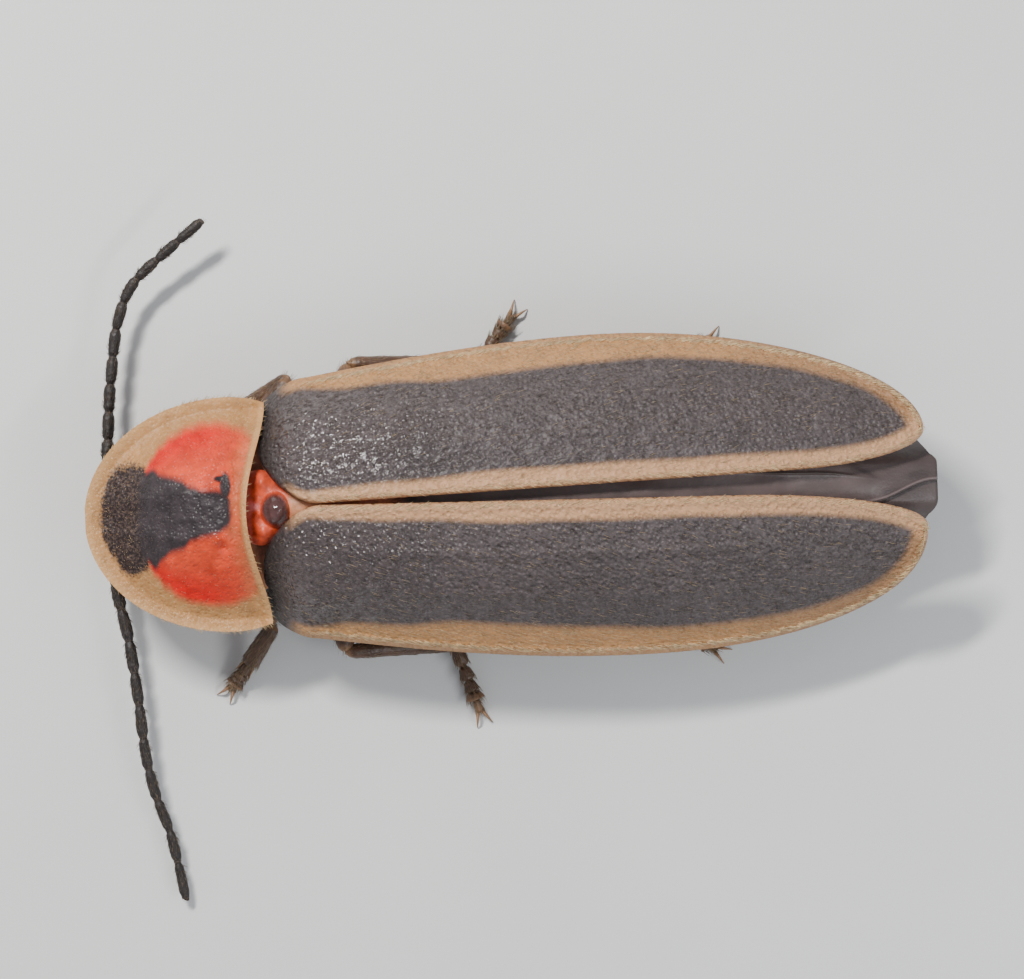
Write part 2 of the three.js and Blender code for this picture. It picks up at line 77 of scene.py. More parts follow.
MARGIN_BAND = [(0, 0.0), (0.22, 0.04), (0.9, 0.135), (1.7, 0.21), (2.6, 0.21), (3.6, 0.165), (5.57, 0.105)]

# Shield over the head
SHIELD_FRONT_X = -4.4
SHIELD_WIDEST_X = -3.15
SHIELD_CORNER_X = -2.83
SHIELD_CORNER_TUCK = 0.06
SHIELD_BOW = 0.17
SHIELD_HALF_WIDTH = 1.0
SHIELD_SHIFT_Y = -0.035
SHIELD_SHIFT = np.array([0, SHIELD_SHIFT_Y, 0])
SHIELD_RIM_TOP = 0.92
SHIELD_DOME = 0.55
SHIELD_THICKNESS = 0.06
SCUTELLUM_SHIFT = np.array([0, 0.012, 0])

# Half widths of the shield's markings, from front to rear. The black mark differs on the two sides.
BLACK_RIGHT = [
    (-3.95, 0.2), (-3.88, 0.37), (-3.8, 0.42), (-3.71, 0.35), (-3.56, 0.325),
    (-3.46, 0.25), (-3.35, 0.2), (-3.24, 0.205), (-3.15, 0.16), (-3.09, 0.0),
]
BLACK_LEFT = [
    (-3.95, 0.2), (-3.88, 0.35), (-3.8, 0.455), (-3.74, 0.38), (-3.64, 0.31), (-3.55, 0.29),
    (-3.47, 0.22), (-3.37, 0.175), (-3.26, 0.155), (-3.17, 0.1), (-3.09, 0.0),
]
FRONT_PATCH = [
    (-4.31, 0.0), (-4.28, 0.1), (-4.24, 0.23), (-4.16, 0.37), (-4.08, 0.45), (-4.0, 0.48), (-3.84, 0.46),
]
RED_PATCH = [
    (-3.86, 0.42), (-3.8, 0.5), (-3.72, 0.59), (-3.62, 0.67), (-3.5, 0.73), (-3.35, 0.76),
    (-3.2, 0.76), (-3.05, 0.71), (-2.9, 0.64),
]
PIT_AT = (-3.205, 0.285)

# Head, eyes and feelers
HEAD_AT = (-3.79, SHIELD_SHIFT_Y, 0.5)
HEAD_HALF = (0.31, 0.4, 0.29)
EYE_RADIUS = 0.21
EYE_OFFSET = (-0.05, 0.37, 0.03)
FEELER_JOINTS = 11
FEELER_PATHS = {
    "antenna_left": [
        (-4.03, -0.25, 0.42), (-4.2, -0.42, 0.36), (-4.17, -0.72, 0.33), (-4.1, -1.08, 0.3),
        (-4.04, -1.6, 0.27), (-4.0, -2.06, 0.24), (-3.93, -2.42, 0.2), (-3.81, -2.8, 0.16),
        (-3.71, -3.33, 0.12),
    ],
    "antenna_right": [
        (-4.03, 0.18, 0.42), (-4.2, 0.34, 0.36), (-4.21, 0.55, 0.34), (-4.18, 0.97, 0.33),
        (-4.15, 1.23, 0.33), (-4.08, 1.65, 0.34), (-3.93, 1.98, 0.37), (-3.6, 2.27, 0.42),
        (-3.32, 2.49, 0.47),
    ],
}

# Legs: hip, knee, ankle and toe
LEGS = {
    "leg_front_left": [(-3.16, -0.36, 0.24), (-2.84, -1.0, 0.42), (-3.08, -1.34, 0.18), (-3.24, -1.54, 0.05)],
    "leg_front_right": [(-3.16, 0.3, 0.24), (-2.62, 1.12, 0.42), (-3.1, 0.82, 0.18), (-3.42, 0.66, 0.05)],
    "leg_middle_left": [(-2.2, -0.4, 0.26), (-2.24, -1.26, 0.4), (-1.3, -1.22, 0.18), (-1.1, -1.84, 0.05)],
    "leg_middle_right": [(-2.2, 0.4, 0.26), (-2.12, 1.22, 0.4), (-1.02, 1.16, 0.18), (-0.68, 1.58, 0.05)],
    "leg_hind_left": [(-1.46, -0.42, 0.24), (-0.4, -1.33, 0.36), (0.56, -1.12, 0.18), (0.96, -1.38, 0.05)],
    "leg_hind_right": [(-1.46, 0.42, 0.24), (-0.45, 1.24, 0.36), (0.6, 1.1, 0.18), (1.02, 1.3, 0.05)],
}

# Colours, linear
CHARCOAL = (0.074, 0.057, 0.058)
TAN = (0.44, 0.215, 0.078)
PALE_TAN = (0.62, 0.4, 0.2)
RED = (0.66, 0.005, 0.001)
ORANGE_RED = (0.66, 0.058, 0.018)
BLACK = (0.038, 0.029, 0.032)
BROWN = (0.085, 0.042, 0.024)
DARK_BROWN = (0.028, 0.018, 0.014)
DUSKY = (0.112, 0.082, 0.078)
LANTERN = (0.74, 0.68, 0.4)
GOLD = (0.7, 0.5, 0.27)


# Numbers

def between(x, stations):
    """A value between named stations, eased from one to the next."""
    at, value = np.array(stations, float).T
    x = np.clip(np.asarray(x, float), at[0], at[-1])
    i = np.clip(np.searchsorted(at, x) - 1, 0, len(at) - 2)
    share = (x - at[i]) / (at[i + 1] - at[i])
    share = share - np.sin(2 * np.pi * share) / (2 * np.pi) * 0.6
    return value[i] + (value[i + 1] - value[i]) * share


def ramp(x, low, high):
    """0 below low, 1 above high, smooth between."""
    t = np.clip((np.asarray(x, float) - low) / (high - low), 0, 1)
    return t * t * (3 - 2 * t)


def bell(x, centre, width):
    """1 at the centre, falling off on both sides within about the width."""
    return np.exp(-(((x - centre) / width) ** 2))


def xyz(x, y, z):
    """Points from their three coordinates."""
    return np.stack(np.broadcast_arrays(x, y, z), axis=-1)


def quarter_round(share):
    """Rises from 0 to 1 along a quarter of a circle."""
    return np.sqrt(np.maximum(0, 1 - (1 - np.minimum(share, 1)) ** 2))


def eased_steps(count, low=0.0, high=1.0):
    """Shares from 0 to 1, spaced like the heights on a half turn, or on its stretch from low to high."""
    height = -np.cos(np.pi * np.linspace(low, high, count))
    return (height - height[0]) / (height[-1] - height[0])


def around(count):
    """Evenly spaced angles of a full turn."""
    return 2 * np.pi * np.arange(count) / count


def oval(columns, power=0.8):
    """Heights and widths around an oval, from -1 to 1. A low power makes its sides squarer."""
    angle = around(columns)[None]
    return np.sin(angle), np.sign(np.cos(angle)) * np.abs(np.cos(angle)) ** power


def lattice(ix, iy, iz, seed):
    h = (ix * 374761393 + iy * 668265263 + iz * 1274126177 + seed * 974711) & 0xFFFFFFFF
    h = ((h ^ (h >> 13)) * 1274126177) & 0xFFFFFFFF
    return ((h ^ (h >> 16)) & 0xFFFF) / 65535.0


def grain(points, size, seed=0):
    """Smooth noise from -1 to 1 with lumps of the given size."""
    p = np.asarray(points, float) / size + 100.0
    cell = np.floor(p).astype(np.int64)
    f = p - cell
    f = f * f * (3 - 2 * f)
    total = np.zeros(p.shape[:-1])
    for corner in range(8):
        d = np.array([corner & 1, corner >> 1 & 1, corner >> 2 & 1])
        weight = np.prod(np.where(d == 1, f, 1 - f), axis=-1)
        total += weight * lattice(*np.moveaxis(cell + d, -1, 0), seed)
    return 2 * total - 1


def unit(v):
    return v / np.maximum(np.linalg.norm(v, axis=-1, keepdims=True), 1e-12)


def roughened(points, centre, amount, size, seed):
    """Points moved in and out from a centre by noise."""
    return points + unit(points - centre) * amount * grain(points, size, seed)[..., None]


def turned(grid, angle, centre_x):
    """The grid turned about a vertical axis through (centre_x, 0)."""
    c, s = math.cos(angle), math.sin(angle)
    x, y = grid[..., 0] - centre_x, grid[..., 1]
    return xyz(centre_x + c * x - s * y, s * x + c * y, grid[..., 2])


def mirrored(grid, side):
    return grid * np.array([1, side, 1])


# Meshes. A grid is an array of rows and columns of points in millimetres.

def add_object(name, data):
    made = bpy.data.objects.new(name, data)
    bpy.context.scene.collection.objects.link(made)
    return made


def make_piece(name, points, faces, material, nodes=(), masks=None, uv=None):
    """A smooth object from points and faces, which rides on the body and may stand for CAD nodes."""
    mesh = bpy.data.meshes.new(name)
    mesh.from_pydata((np.asarray(points) * MM).tolist(), [], faces)
    mesh.polygons.foreach_set("use_smooth", [True] * len(mesh.polygons))
    for key, values in (masks or {}).items():
        layer = mesh.attributes.new(key, "FLOAT", "POINT")
        layer.data.foreach_set("value", np.asarray(values, dtype=np.float32).ravel())
    if uv is not None:
        layer = mesh.uv_layers.new(name="OFBake")
        corner = np.empty(len(mesh.loops), dtype=np.int32)
        mesh.loops.foreach_get("vertex_index", corner)
        layer.data.foreach_set("uv", np.asarray(uv, dtype=np.float32)[corner].ravel())
    mesh.materials.append(material)
    mesh.validate()
    mesh.update()
    piece = add_object(name, mesh)
    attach(piece, "root")
    if nodes:
        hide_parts(*nodes)


def quads(rows, columns, wrap=False, start=0, flip=False):
    i, j = np.meshgrid(np.arange(rows - 1), np.arange(columns - (0 if wrap else 1)), indexing="ij")
    k = (j + 1) % columns
    a, b = start + i * columns + j, start + i * columns + k
    c, d = start + (i + 1) * columns + k, start + (i + 1) * columns + j
    order = [a, d, c, b] if flip else [a, b, c, d]
    return np.stack(order, axis=-1).reshape(-1, 4)


class Form:
    """Collects closed forms into one mesh, with named masks that vary over them."""

    def __init__(self):
        self.points, self.faces, self.masks, self.count = [], [], {}, 0

    def _keep(self, points, faces, masks):
        self.points.append(points)
        self.faces += [tuple(f) for f in faces]
        for key in set(self.masks) | set(masks):
            values = masks.get(key, np.zeros(len(points)))
            earlier = [np.zeros(self.count)] if self.count else []
            self.masks.setdefault(key, earlier).append(np.asarray(values, float))
        self.count += len(points)

    def tube(self, rings, **masks):
        """Rings of equal length, joined and closed to a rounded point at each end."""
        rows, columns = rings.shape[:2]
        tips = [rings[0].mean(0), rings[-1].mean(0)]
        points = np.vstack([rings.reshape(-1, 3), tips])
        start = self.count
        faces = quads(rows, columns, wrap=True, start=start).tolist()
        first, last = start + rows * columns, start + rows * columns + 1
        end = start + (rows - 1) * columns
        for j in range(columns):
            k = (j + 1) % columns
            faces += [(first, start + k, start + j), (last, end + j, end + k)]
        spread = {}
        for key, value in masks.items():
            value = np.asarray(value, float)
            value = np.broadcast_to(value[:, None] if value.ndim == 1 else value, (rows, columns))
            spread[key] = np.concatenate([value.ravel(), [value[0].mean(), value[-1].mean()]])
        self._keep(points, faces, spread)

    def shell(self, top, bottom, flip, **masks):
        """A plate between two grids, with a rounded rim between them."""
        rows, columns = top.shape[:2]
        index = np.arange(rows * columns).reshape(rows, columns)
        loop = np.concatenate([index[0, :-1], index[:-1, -1], index[-1, :0:-1], index[:0:-1, 0]])
        flat_top, flat_bottom = top.reshape(-1, 3), bottom.reshape(-1, 3)
        middle = 0.5 * (flat_top[loop] + flat_bottom[loop])
        height = np.linalg.norm(flat_top[loop] - flat_bottom[loop], axis=1, keepdims=True)
        along = unit(np.roll(middle, -1, axis=0) - np.roll(middle, 1, axis=0))
        outward = unit(np.cross(along, [0, 0, 1])) * (1 if flip else -1)
        rim = middle + outward * height * 0.35
        start, size = self.count, rows * columns
        faces = quads(rows, columns, start=start, flip=flip).tolist()
        faces += quads(rows, columns, start=start + size, flip=not flip).tolist()
        band = np.concatenate([loop, 2 * size + np.arange(len(loop)), size + loop])
        faces += (start + band[quads(3, len(loop), wrap=True, flip=not flip)]).tolist()
        spread = {}
        for key, value in masks.items():
            value = np.asarray(value, float).ravel()
            spread[key] = np.concatenate([value, value, value[loop]])
        self._keep(np.vstack([flat_top, flat_bottom, rim]), faces, spread)

    def piece(self, name, slot, material, nodes=()):
        masks = {key: np.concatenate(values) for key, values in self.masks.items()}
        make_piece(name, np.vstack(self.points), self.faces, material, nodes, masks)


def points_at(want, path, run=None):
    """Points at shares of a path, or at distances where run says how far along its points lie."""
    run = np.linspace(0, 1, len(path)) if run is None else run
    return np.stack([np.interp(want, run, path[:, k]) for k in range(3)], axis=1)


def smooth_path(points, count):
    """Evenly spaced points on a smooth curve through a few points."""
    p = np.array(points, float)
    p = np.vstack([2 * p[0] - p[1], p, 2 * p[-1] - p[-2]])
    fine = []
    for i in range(1, len(p) - 2):
        t = np.linspace(0, 1, 40, endpoint=False)[:, None]
        a, b, c, d = p[i - 1:i + 3]
        bend, twist = 2 * a - 5 * b + 4 * c - d, 3 * b - a - 3 * c + d
        fine.append(0.5 * (2 * b + (c - a) * t + bend * t**2 + twist * t**3))
    fine = np.vstack(fine + [p[-2:-1]])
    run = np.concatenate([[0], np.cumsum(np.linalg.norm(np.diff(fine, axis=0), axis=1))])
    return points_at(np.linspace(0, run[-1], count), fine, run)


def limb(path, wide, high, sides=14):
    """Rings along a path. wide is the half width level with the floor, high the half height."""
    path = np.asarray(path, float)
    along = unit(np.gradient(path, axis=0))
    side = unit(np.cross(along, [0, 0, 1.0]))
    up = np.cross(side, along)
    angle = around(sides)
    wide = np.broadcast_to(wide, len(path))[:, None, None]
    high = np.broadcast_to(high, len(path))[:, None, None]
    return (path[:, None] + side[:, None] * np.cos(angle)[None, :, None] * wide
            + up[:, None] * np.sin(angle)[None, :, None] * high)


def rounded(count, blunt):
    """Shares along a form, and half widths there that round off both ends."""
    share = eased_steps(count)
    return share, np.maximum(quarter_round(np.minimum(share, 1 - share) / blunt), 0.03)


def ball(at, half, rows, columns):
    """Rings of an ellipsoid, poles up and down."""
    polar = np.linspace(0.02, np.pi - 0.02, rows)[:, None]
    angle = around(columns)[None]
    sphere = xyz(np.sin(polar) * np.cos(angle), np.sin(polar) * np.sin(angle), np.cos(polar))
    return sphere * np.array(half) + np.array(at)


# Coats: short hairs on a grid, each a thin three-sided spike that bends towards the skin.

POINTS_PER_HAIR = 10
DISC_HAIRS, MARGIN_HAIRS, SUTURE_HAIRS, BRISTLES = 4200, 900, 420, 150
SHIELD_HAIRS, HEAD_HAIRS, JOINT_HAIRS, THIGH_HAIRS, TOE_HAIRS = 1500, 700, 150, 420, 110


def scatter(grid, count, rng, weight=None, facing=-1):
    """Random places on a grid: roots, normals, the way from row to row, and shares of rows and columns."""
    a = grid[1:, :-1] - grid[:-1, :-1]
    b = grid[:-1, 1:] - grid[:-1, :-1]
    normal = np.cross(a, b)
    chance = np.linalg.norm(normal, axis=-1)
    if weight is not None:
        chance = chance * weight[:-1, :-1]
    cell = rng.choice(chance.size, count, p=(chance / chance.sum()).ravel())
    i, j = np.divmod(cell, chance.shape[1])
    s, t = rng.random(count), rng.random(count)
    root = grid[i, j] + a[i, j] * s[:, None] + b[i, j] * t[:, None]
    share = np.stack([(i + s) / chance.shape[0], (j + t) / chance.shape[1]], axis=1)
    return root, unit(normal[i, j]) * facing, unit(a[i, j]), share


def cells_at(grid, share):
    """The rows and columns of a grid at the shares that scatter gives."""
    rows = (share[:, 0] * (grid.shape[0] - 1)).astype(int)
    return rows, (share[:, 1] * (grid.shape[1] - 1)).astype(int)


class Coat:
    """Collects hairs into one piece."""

    def __init__(self):
        self.points, self.uv, self.tones, self.count = [], [], [], 0

    def add(self, rng, root, normal, uv, lie, sway, lengths, width, tones, lift, bend, keep=slice(None)):
        """Hairs at their roots. Lengths, and tones that are a pair, are drawn between two limits."""
        lie = lie + rng.normal(0, sway, root.shape)
        root, normal, uv, lie = (part[keep] for part in (root, normal, uv, lie))
        length = rng.uniform(*lengths, len(root))[:, None]
        if isinstance(tones, tuple):
            tones = rng.uniform(*tones, len(root))
        lie = unit(lie - normal * np.sum(lie * normal, axis=1, keepdims=True))
        side = np.cross(normal, lie)
        rows, corners = [], []
        for t, size in ((-0.06, 1.0), (0.35, 0.85), (0.7, 0.5)):
            centre = root + lie * length * t + normal * length * (lift * t - bend * t * abs(t))
            for k in range(3):
                angle = 2 * math.pi * k / 3 + 0.5
                rows.append(centre + (side * math.cos(angle) + normal * math.sin(angle)) * width * size)
                corners.append((math.cos(angle), math.sin(angle) * (1 - t)))
        rows.append(root + lie * length + normal * length * (lift - bend))
        corners.append((0.0, 0.0))
        self.points.append(np.stack(rows, axis=1))
        self.uv.append(uv[:, None] * 0.99 + 0.003 + 0.0015 * np.array(corners)[None])
        self.tones.append(np.repeat(np.broadcast_to(tones, len(root))[:, None], len(rows), axis=1))
        self.count += len(root)

    def piece(self, name, slot, material):
        base = POINTS_PER_HAIR * np.arange(self.count)[:, None]
        faces = []
        for low in (0, 3):
            for k in range(3):
                n = (k + 1) % 3
                faces.append(base + np.array([low + k, low + n, low + 3 + n, low + 3 + k]))
        flat = np.concatenate(faces).tolist()
        ends = [base + np.array(f) for f in ((6, 7, 9), (7, 8, 9), (8, 6, 9), (2, 1, 0))]
        flat += np.concatenate(ends).tolist()
        points = np.concatenate(self.points).reshape(-1, 3)
        uv = np.concatenate(self.uv).reshape(-1, 2)
        tone = np.concatenate(self.tones).ravel()
        make_piece(name, points, flat, material, masks={"tone": tone}, uv=uv)


# Materials

class Nodes:
    """A material's node tree, filled by short calls."""

    def __init__(self, name):
        self.material = bpy.data.materials.new(name)
        self.material.use_nodes = True
        self.tree = self.material.node_tree
        self.shader = self.tree.nodes["Principled BSDF"]
        self.place = self.node("ShaderNodeTexCoord").outputs["Object"]

    def node(self, kind, **settings):
        made = self.tree.nodes.new(kind)
        for key, value in settings.items():
            if hasattr(made, key):
                setattr(made, key, value)
            else:
                self.feed(made.inputs[key.replace("_", " ")], value)
        return made

    def feed(self, socket, value):
        if isinstance(value, bpy.types.NodeSocket):
            self.tree.links.new(value, socket)
        elif isinstance(value, tuple) and len(value) == 3 and socket.type == "RGBA":
            socket.default_value = (*value, 1)
        else:
            socket.default_value = value

    def noise(self, size, detail=3.0, stretch=None):
        """Noise with lumps of the given size in millimetres."""
        place = self.place
        if stretch:
            mapping = self.node("ShaderNodeMapping")
            self.feed(mapping.inputs["Vector"], place)
            mapping.inputs["Scale"].default_value = stretch
            place = mapping.outputs["Vector"]
        settings = {"Scale": 1 / (size * MM), "Detail": detail, "Roughness": 0.55}
        return self.node("ShaderNodeTexNoise", Vector=place, **settings).outputs["Fac"]

    def cells(self, size):
        return self.node("ShaderNodeTexVoronoi", Vector=self.place, Scale=1 / (size * MM)).outputs["Distance"]

    def spread(self, value, low, high, to_low=0.0, to_high=1.0):
        limits = {"From_Min": low, "From_Max": high, "To_Min": to_low, "To_Max": to_high}
        return self.node("ShaderNodeMapRange", Value=value, **limits).outputs["Result"]

    def patches(self, size, low, high):
        """Noise spread from one value to another."""
        return self.spread(self.noise(size), 0.3, 0.7, low, high)

    def sums(self, operation, a, b):
        made = self.node("ShaderNodeMath", operation=operation)
        self.feed(made.inputs[0], a)
        self.feed(made.inputs[1], b)
        return made.outputs[0]

    def mask(self, name):
        return self.node("ShaderNodeAttribute", attribute_name=name).outputs["Fac"]

    def share(self, name, most=1.0):
        """A mask, clamped and scaled to reach no more than most."""
        return self.spread(self.mask(name), 0.0, 1.0, 0.0, most)

    def mix(self, amount, a, b):
        made = self.node("ShaderNodeMix", data_type="RGBA")
        self.feed(made.inputs[0], amount)
        self.feed(made.inputs[6], a)
        self.feed(made.inputs[7], b)
        return made.outputs[2]

    def varied(self, colour, size, amount):
        """The colour, darker and lighter by turns."""
        dark = tuple(c * (1 - amount) for c in colour)
        light = tuple(min(1.0, c * (1 + amount)) for c in colour)
        return self.mix(self.patches(size, 0.0, 1.0), dark, light)

    def bump(self, height, distance, strength, under=None):
        made = self.node("ShaderNodeBump", Strength=strength, Distance=distance * MM, Height=height)
        if under is not None:
            self.feed(made.inputs["Normal"], under)
        return made.outputs["Normal"]

    def finish(self, colour, roughness, normal=None, **sockets):
        self.feed(self.shader.inputs["Base Color"], colour)
        self.feed(self.shader.inputs["Roughness"], roughness)
        if normal is not None:
            self.feed(self.shader.inputs["Normal"], normal)
        for key, value in sockets.items():
            self.shader.inputs[key.replace("_", " ")].default_value = value
        return self.material


def soft_edge(n, name, size, wobble):
    """A mask whose edge is broken up by noise."""
    moved = n.sums("ADD", n.mask(name), n.spread(n.noise(size, 4.0), 0.25, 0.75, -wobble, wobble))
    return n.spread(moved, 0.3, 0.7)


def tan_shell(n, size, amount):
    """Tan with fine pale specks."""
    base = n.varied(TAN, size, amount)
    return n.mix(n.spread(n.noise(0.03, 2.0), 0.5, 0.8, 0.0, 0.5), base, PALE_TAN)


def wing_case_material():
    n = Nodes("wing_case_cuticle")
    disc = n.varied(CHARCOAL, 0.6, 0.16)
    speck = n.spread(n.noise(0.028, 2.0), 0.5, 0.75, 0.0, 0.8)
    disc = n.mix(speck, disc, (0.15, 0.118, 0.118))
    disc = n.mix(n.spread(n.noise(0.04, 2.0), 0.55, 0.35, 0.0, 0.45), disc, (0.024, 0.017, 0.017))
    # painted shade: the front of each case, tucked under the shield's rear rim, is darkened almost to black
    disc = n.mix(n.share("dark"), disc, (0.02, 0.013, 0.011))
    margin = tan_shell(n, 0.25, 0.12)
    margin = n.mix(n.share("band", 0.6), margin, (0.62, 0.35, 0.2))
    brown = n.varied((0.27, 0.145, 0.08), 0.1, 0.2)
    margin = n.mix(n.share("dull", 0.6), margin, brown)
    colour = n.mix(n.spread(n.mask("pale"), 0.1, 0.9), disc, margin)
    roughness = n.spread(n.mask("gloss"), 0.0, 0.8, 0.52, 0.14)
    coarse = n.bump(n.noise(0.075), 0.024, 0.85)
    pits = n.bump(n.spread(n.cells(0.042), 0.0, 0.6), 0.014, 0.9, under=coarse)
    return n.finish(colour, roughness, pits, IOR=1.5)


def shield_material():
    n = Nodes("shield_cuticle")
    colour = tan_shell(n, 0.2, 0.16)
    colour = n.mix(n.share("rim", 0.5), colour, (0.66, 0.37, 0.15))
    red = n.mix(n.share("deep"), n.varied(ORANGE_RED, 0.14, 0.3), n.varied(RED, 0.1, 0.2))
    colour = n.mix(n.mask("red"), colour, red)
    fine = n.spread(n.noise(0.022), 0.3, 0.7, -0.28, 0.28)
    speckles = n.spread(n.sums("ADD", n.mask("front"), fine), 0.25, 0.85)
    dark = n.mix(n.spread(n.noise(0.024), 0.45, 0.68), (0.021, 0.014, 0.014), (0.1, 0.066, 0.056))
    colour = n.mix(speckles, colour, dark)
    colour = n.mix(n.mask("black"), colour, n.varied(BLACK, 0.1, 0.4))
    dull = n.patches(0.15, 0.36, 0.5)
    roughness = n.sums("SUBTRACT", dull, n.spread(n.mask("shine"), 0.2, 0.8, 0.0, 0.28))
    coarse = n.bump(n.noise(0.09), 0.015, 0.75)
    pits = n.bump(n.spread(n.cells(0.036), 0.0, 0.5), 0.008, 0.7, under=coarse)
    return n.finish(colour, roughness, pits, IOR=1.45, Specular_IOR_Level=0.34)


def plain_cuticle(name, colour, pale, shine=(0.35, 0.5), size=0.06, depth=0.01):
    n = Nodes(name)
    base = n.varied(colour, 0.2, 0.3)
    base = n.mix(soft_edge(n, "pale", 0.08, 0.15), base, n.varied(pale, 0.12, 0.15))
    roughness = n.patches(0.15, *shine)
    normal = n.bump(n.noise(size), depth, 0.8)
    return n.finish(base, roughness, normal, IOR=1.5)


def scutellum_material():
    n = Nodes("scutellum_cuticle")
    orange = n.varied((0.56, 0.065, 0.022), 0.08, 0.4)
    # a small pink membrane spot with a painted highlight, and the front of the plate lightened as painted
    # light where the shield's rim shades it
    colour = n.mix(n.spread(n.mask("pink"), 0.2, 0.9), orange, (0.8, 0.22, 0.2))
    colour = n.mix(n.mask("pale"), colour, n.varied((0.6, 0.26, 0.13), 0.08, 0.25))
    colour = n.mix(n.mask("dark"), colour, n.varied((0.09, 0.042, 0.04), 0.12, 0.5))
    # the low plate's brown, lightened with painted light against the deep shade it lies in
    colour = n.mix(n.mask("shade"), colour, n.varied((0.42, 0.19, 0.1), 0.15, 0.3))
    roughness = n.spread(n.mask("dark"), 0.0, 1.0, 0.44, 0.14)
    return n.finish(colour, roughness, n.bump(n.noise(0.04), 0.008, 0.7), IOR=1.48)


def wing_material():
    n = Nodes("wing_membrane")
    film = n.varied(DUSKY, 0.3, 0.2)
    colour = n.mix(n.mask("vein"), film, (0.05, 0.034, 0.03))
    colour = n.mix(n.share("smudge", 0.75), colour, (0.03, 0.02, 0.02))
    # painted highlight: a light line along the right wing's inner edge near the tip, where the fold catches
    # light
    colour = n.mix(n.share("crease", 0.45), colour, (0.28, 0.21, 0.21))
    colour = n.mix(n.mask("root"), colour, n.varied((0.48, 0.17, 0.08), 0.1, 0.3))
    roughness = n.patches(0.1, 0.36, 0.52)
    ripples = n.bump(n.noise(0.12, stretch=(0.45, 1.0, 1.0)), 0.01, 0.6)
    fuzz = n.bump(n.cells(0.02), 0.002, 0.5, under=ripples)
    return n.finish(colour, roughness, fuzz, IOR=1.45)


def eye_material():
    n = Nodes("eye_facets")
    colour = n.varied((0.006, 0.005, 0.006), 0.1, 0.4)
    facets = n.bump(n.spread(n.cells(0.022), 0.0, 0.5, 1.0, 0.0), 0.006, 0.9)
    return n.finish(colour, n.patches(0.2, 0.12, 0.22), facets, IOR=1.5)


def lantern_material():
    n = Nodes("abdomen_cuticle")
    dark = n.varied(DARK_BROWN, 0.2, 0.3)
    waxy = n.varied(LANTERN, 0.25, 0.12)
    colour = n.mix(soft_edge(n, "lantern", 0.08, 0.06), dark, waxy)
    colour = n.mix(n.share("hinge", 0.6), colour, (0.3, 0.16, 0.07))
    roughness = n.patches(0.15, 0.35, 0.5)
    return n.finish(colour, roughness, n.bump(n.noise(0.05), 0.008, 0.7), IOR=1.5)


def hair_material(name, dark, light):
    n = Nodes(name)
    colour = n.mix(n.mask("tone"), n.varied(dark, 0.1, 0.3), n.varied(light, 0.1, 0.25))
    roughness = n.patches(0.2, 0.3, 0.42)
    return n.finish(colour, roughness, n.bump(n.noise(0.01), 0.001, 0.4), IOR=1.55)


WING_CASE = wing_case_material()
SHIELD = shield_material()
SCUTELLUM = scutellum_material()
WING = wing_material()
EYE = eye_material()
ABDOMEN = lantern_material()
TRUNK = plain_cuticle("trunk_cuticle", DARK_BROWN, pale=(0.2, 0.1, 0.045), size=0.045, depth=0.016)
HEAD = plain_cuticle("head_cuticle", (0.03, 0.019, 0.014), pale=(0.26, 0.13, 0.06))
FEELER = plain_cuticle(
    "feeler_cuticle", (0.014, 0.01, 0.009), pale=(0.07, 0.045, 0.033), shine=(0.48, 0.62), size=0.03,
)
LEG = plain_cuticle("leg_cuticle", BROWN, pale=(0.26, 0.14, 0.07), size=0.04)
HAIR = hair_material("golden_hair", (0.05, 0.04, 0.037), GOLD)
DARK_HAIR = hair_material("dark_hair", (0.05, 0.035, 0.025), (0.3, 0.2, 0.11))


# Wing cases

def case_inner_edge(run, tip_run):
    corner = CASE_BASE_OFFSET * (1 - quarter_round(run / INNER_CORNER_RUN))
    late = np.clip((run - (CASE_LENGTH - tip_run)) / tip_run, 0, 1)
    apex = APEX_OFFSET * (1 - np.sqrt(1 - late**2))
    return np.where(run < INNER_CORNER_RUN, corner, apex)


def case_outer_edge(run, roundness=MEAN_ROUNDNESS):
    shoulder = CASE_BASE_OFFSET + (SHOULDER_WIDTH - CASE_BASE_OFFSET) * quarter_round(run / SHOULDER_RUN)
    swell = np.clip((run - SHOULDER_RUN) / (WIDEST_RUN - SHOULDER_RUN), 0, 1)
    side = SHOULDER_WIDTH + (CASE_WIDTH - SHOULDER_WIDTH) * np.sin(swell * np.pi / 2)
    late = np.clip((run - WIDEST_RUN) / (CASE_LENGTH - WIDEST_RUN), 0, 1)
    apex = APEX_OFFSET + (CASE_WIDTH - APEX_OFFSET) * (1 - late**roundness) ** (1 / roundness)
    return np.where(run < SHOULDER_RUN, shoulder, np.where(run < WIDEST_RUN, side, apex))


def case_height(run, y):
    outer = np.maximum(case_outer_edge(run), CASE_FOLD_WIDTH)
    front = np.maximum(0, 1 - run / CASE_FRONT_RUN)
    roll = np.maximum(0, 1 - run / CASE_ROLL_RUN)
    rear = np.maximum(0, run - CASE_REAR_RUN) / (CASE_LENGTH - CASE_REAR_RUN)
    ridge = CASE_TOP - CASE_FRONT_FALL * front**2 - CASE_ROLL_FALL * roll**2 - CASE_REAR_FALL * rear**2
    return ridge - CASE_SIDE_FALL * (outer / CASE_WIDTH) * (y / outer) ** 2.5


def edge_distance(run, y, edge):
    """How far each place is from an outline, seen from above."""
    line_run = CASE_LENGTH * eased_steps(260)
    line = np.stack([line_run, edge(line_run)], axis=1)
    flat = np.stack([run.ravel(), y.ravel()], axis=1)
    parts = (flat[k:k + 4000, None] for k in range(0, len(flat), 4000))
    near = [np.sqrt(((part - line[None]) ** 2).sum(-1)).min(1) for part in parts]
    return np.concatenate(near).reshape(run.shape)


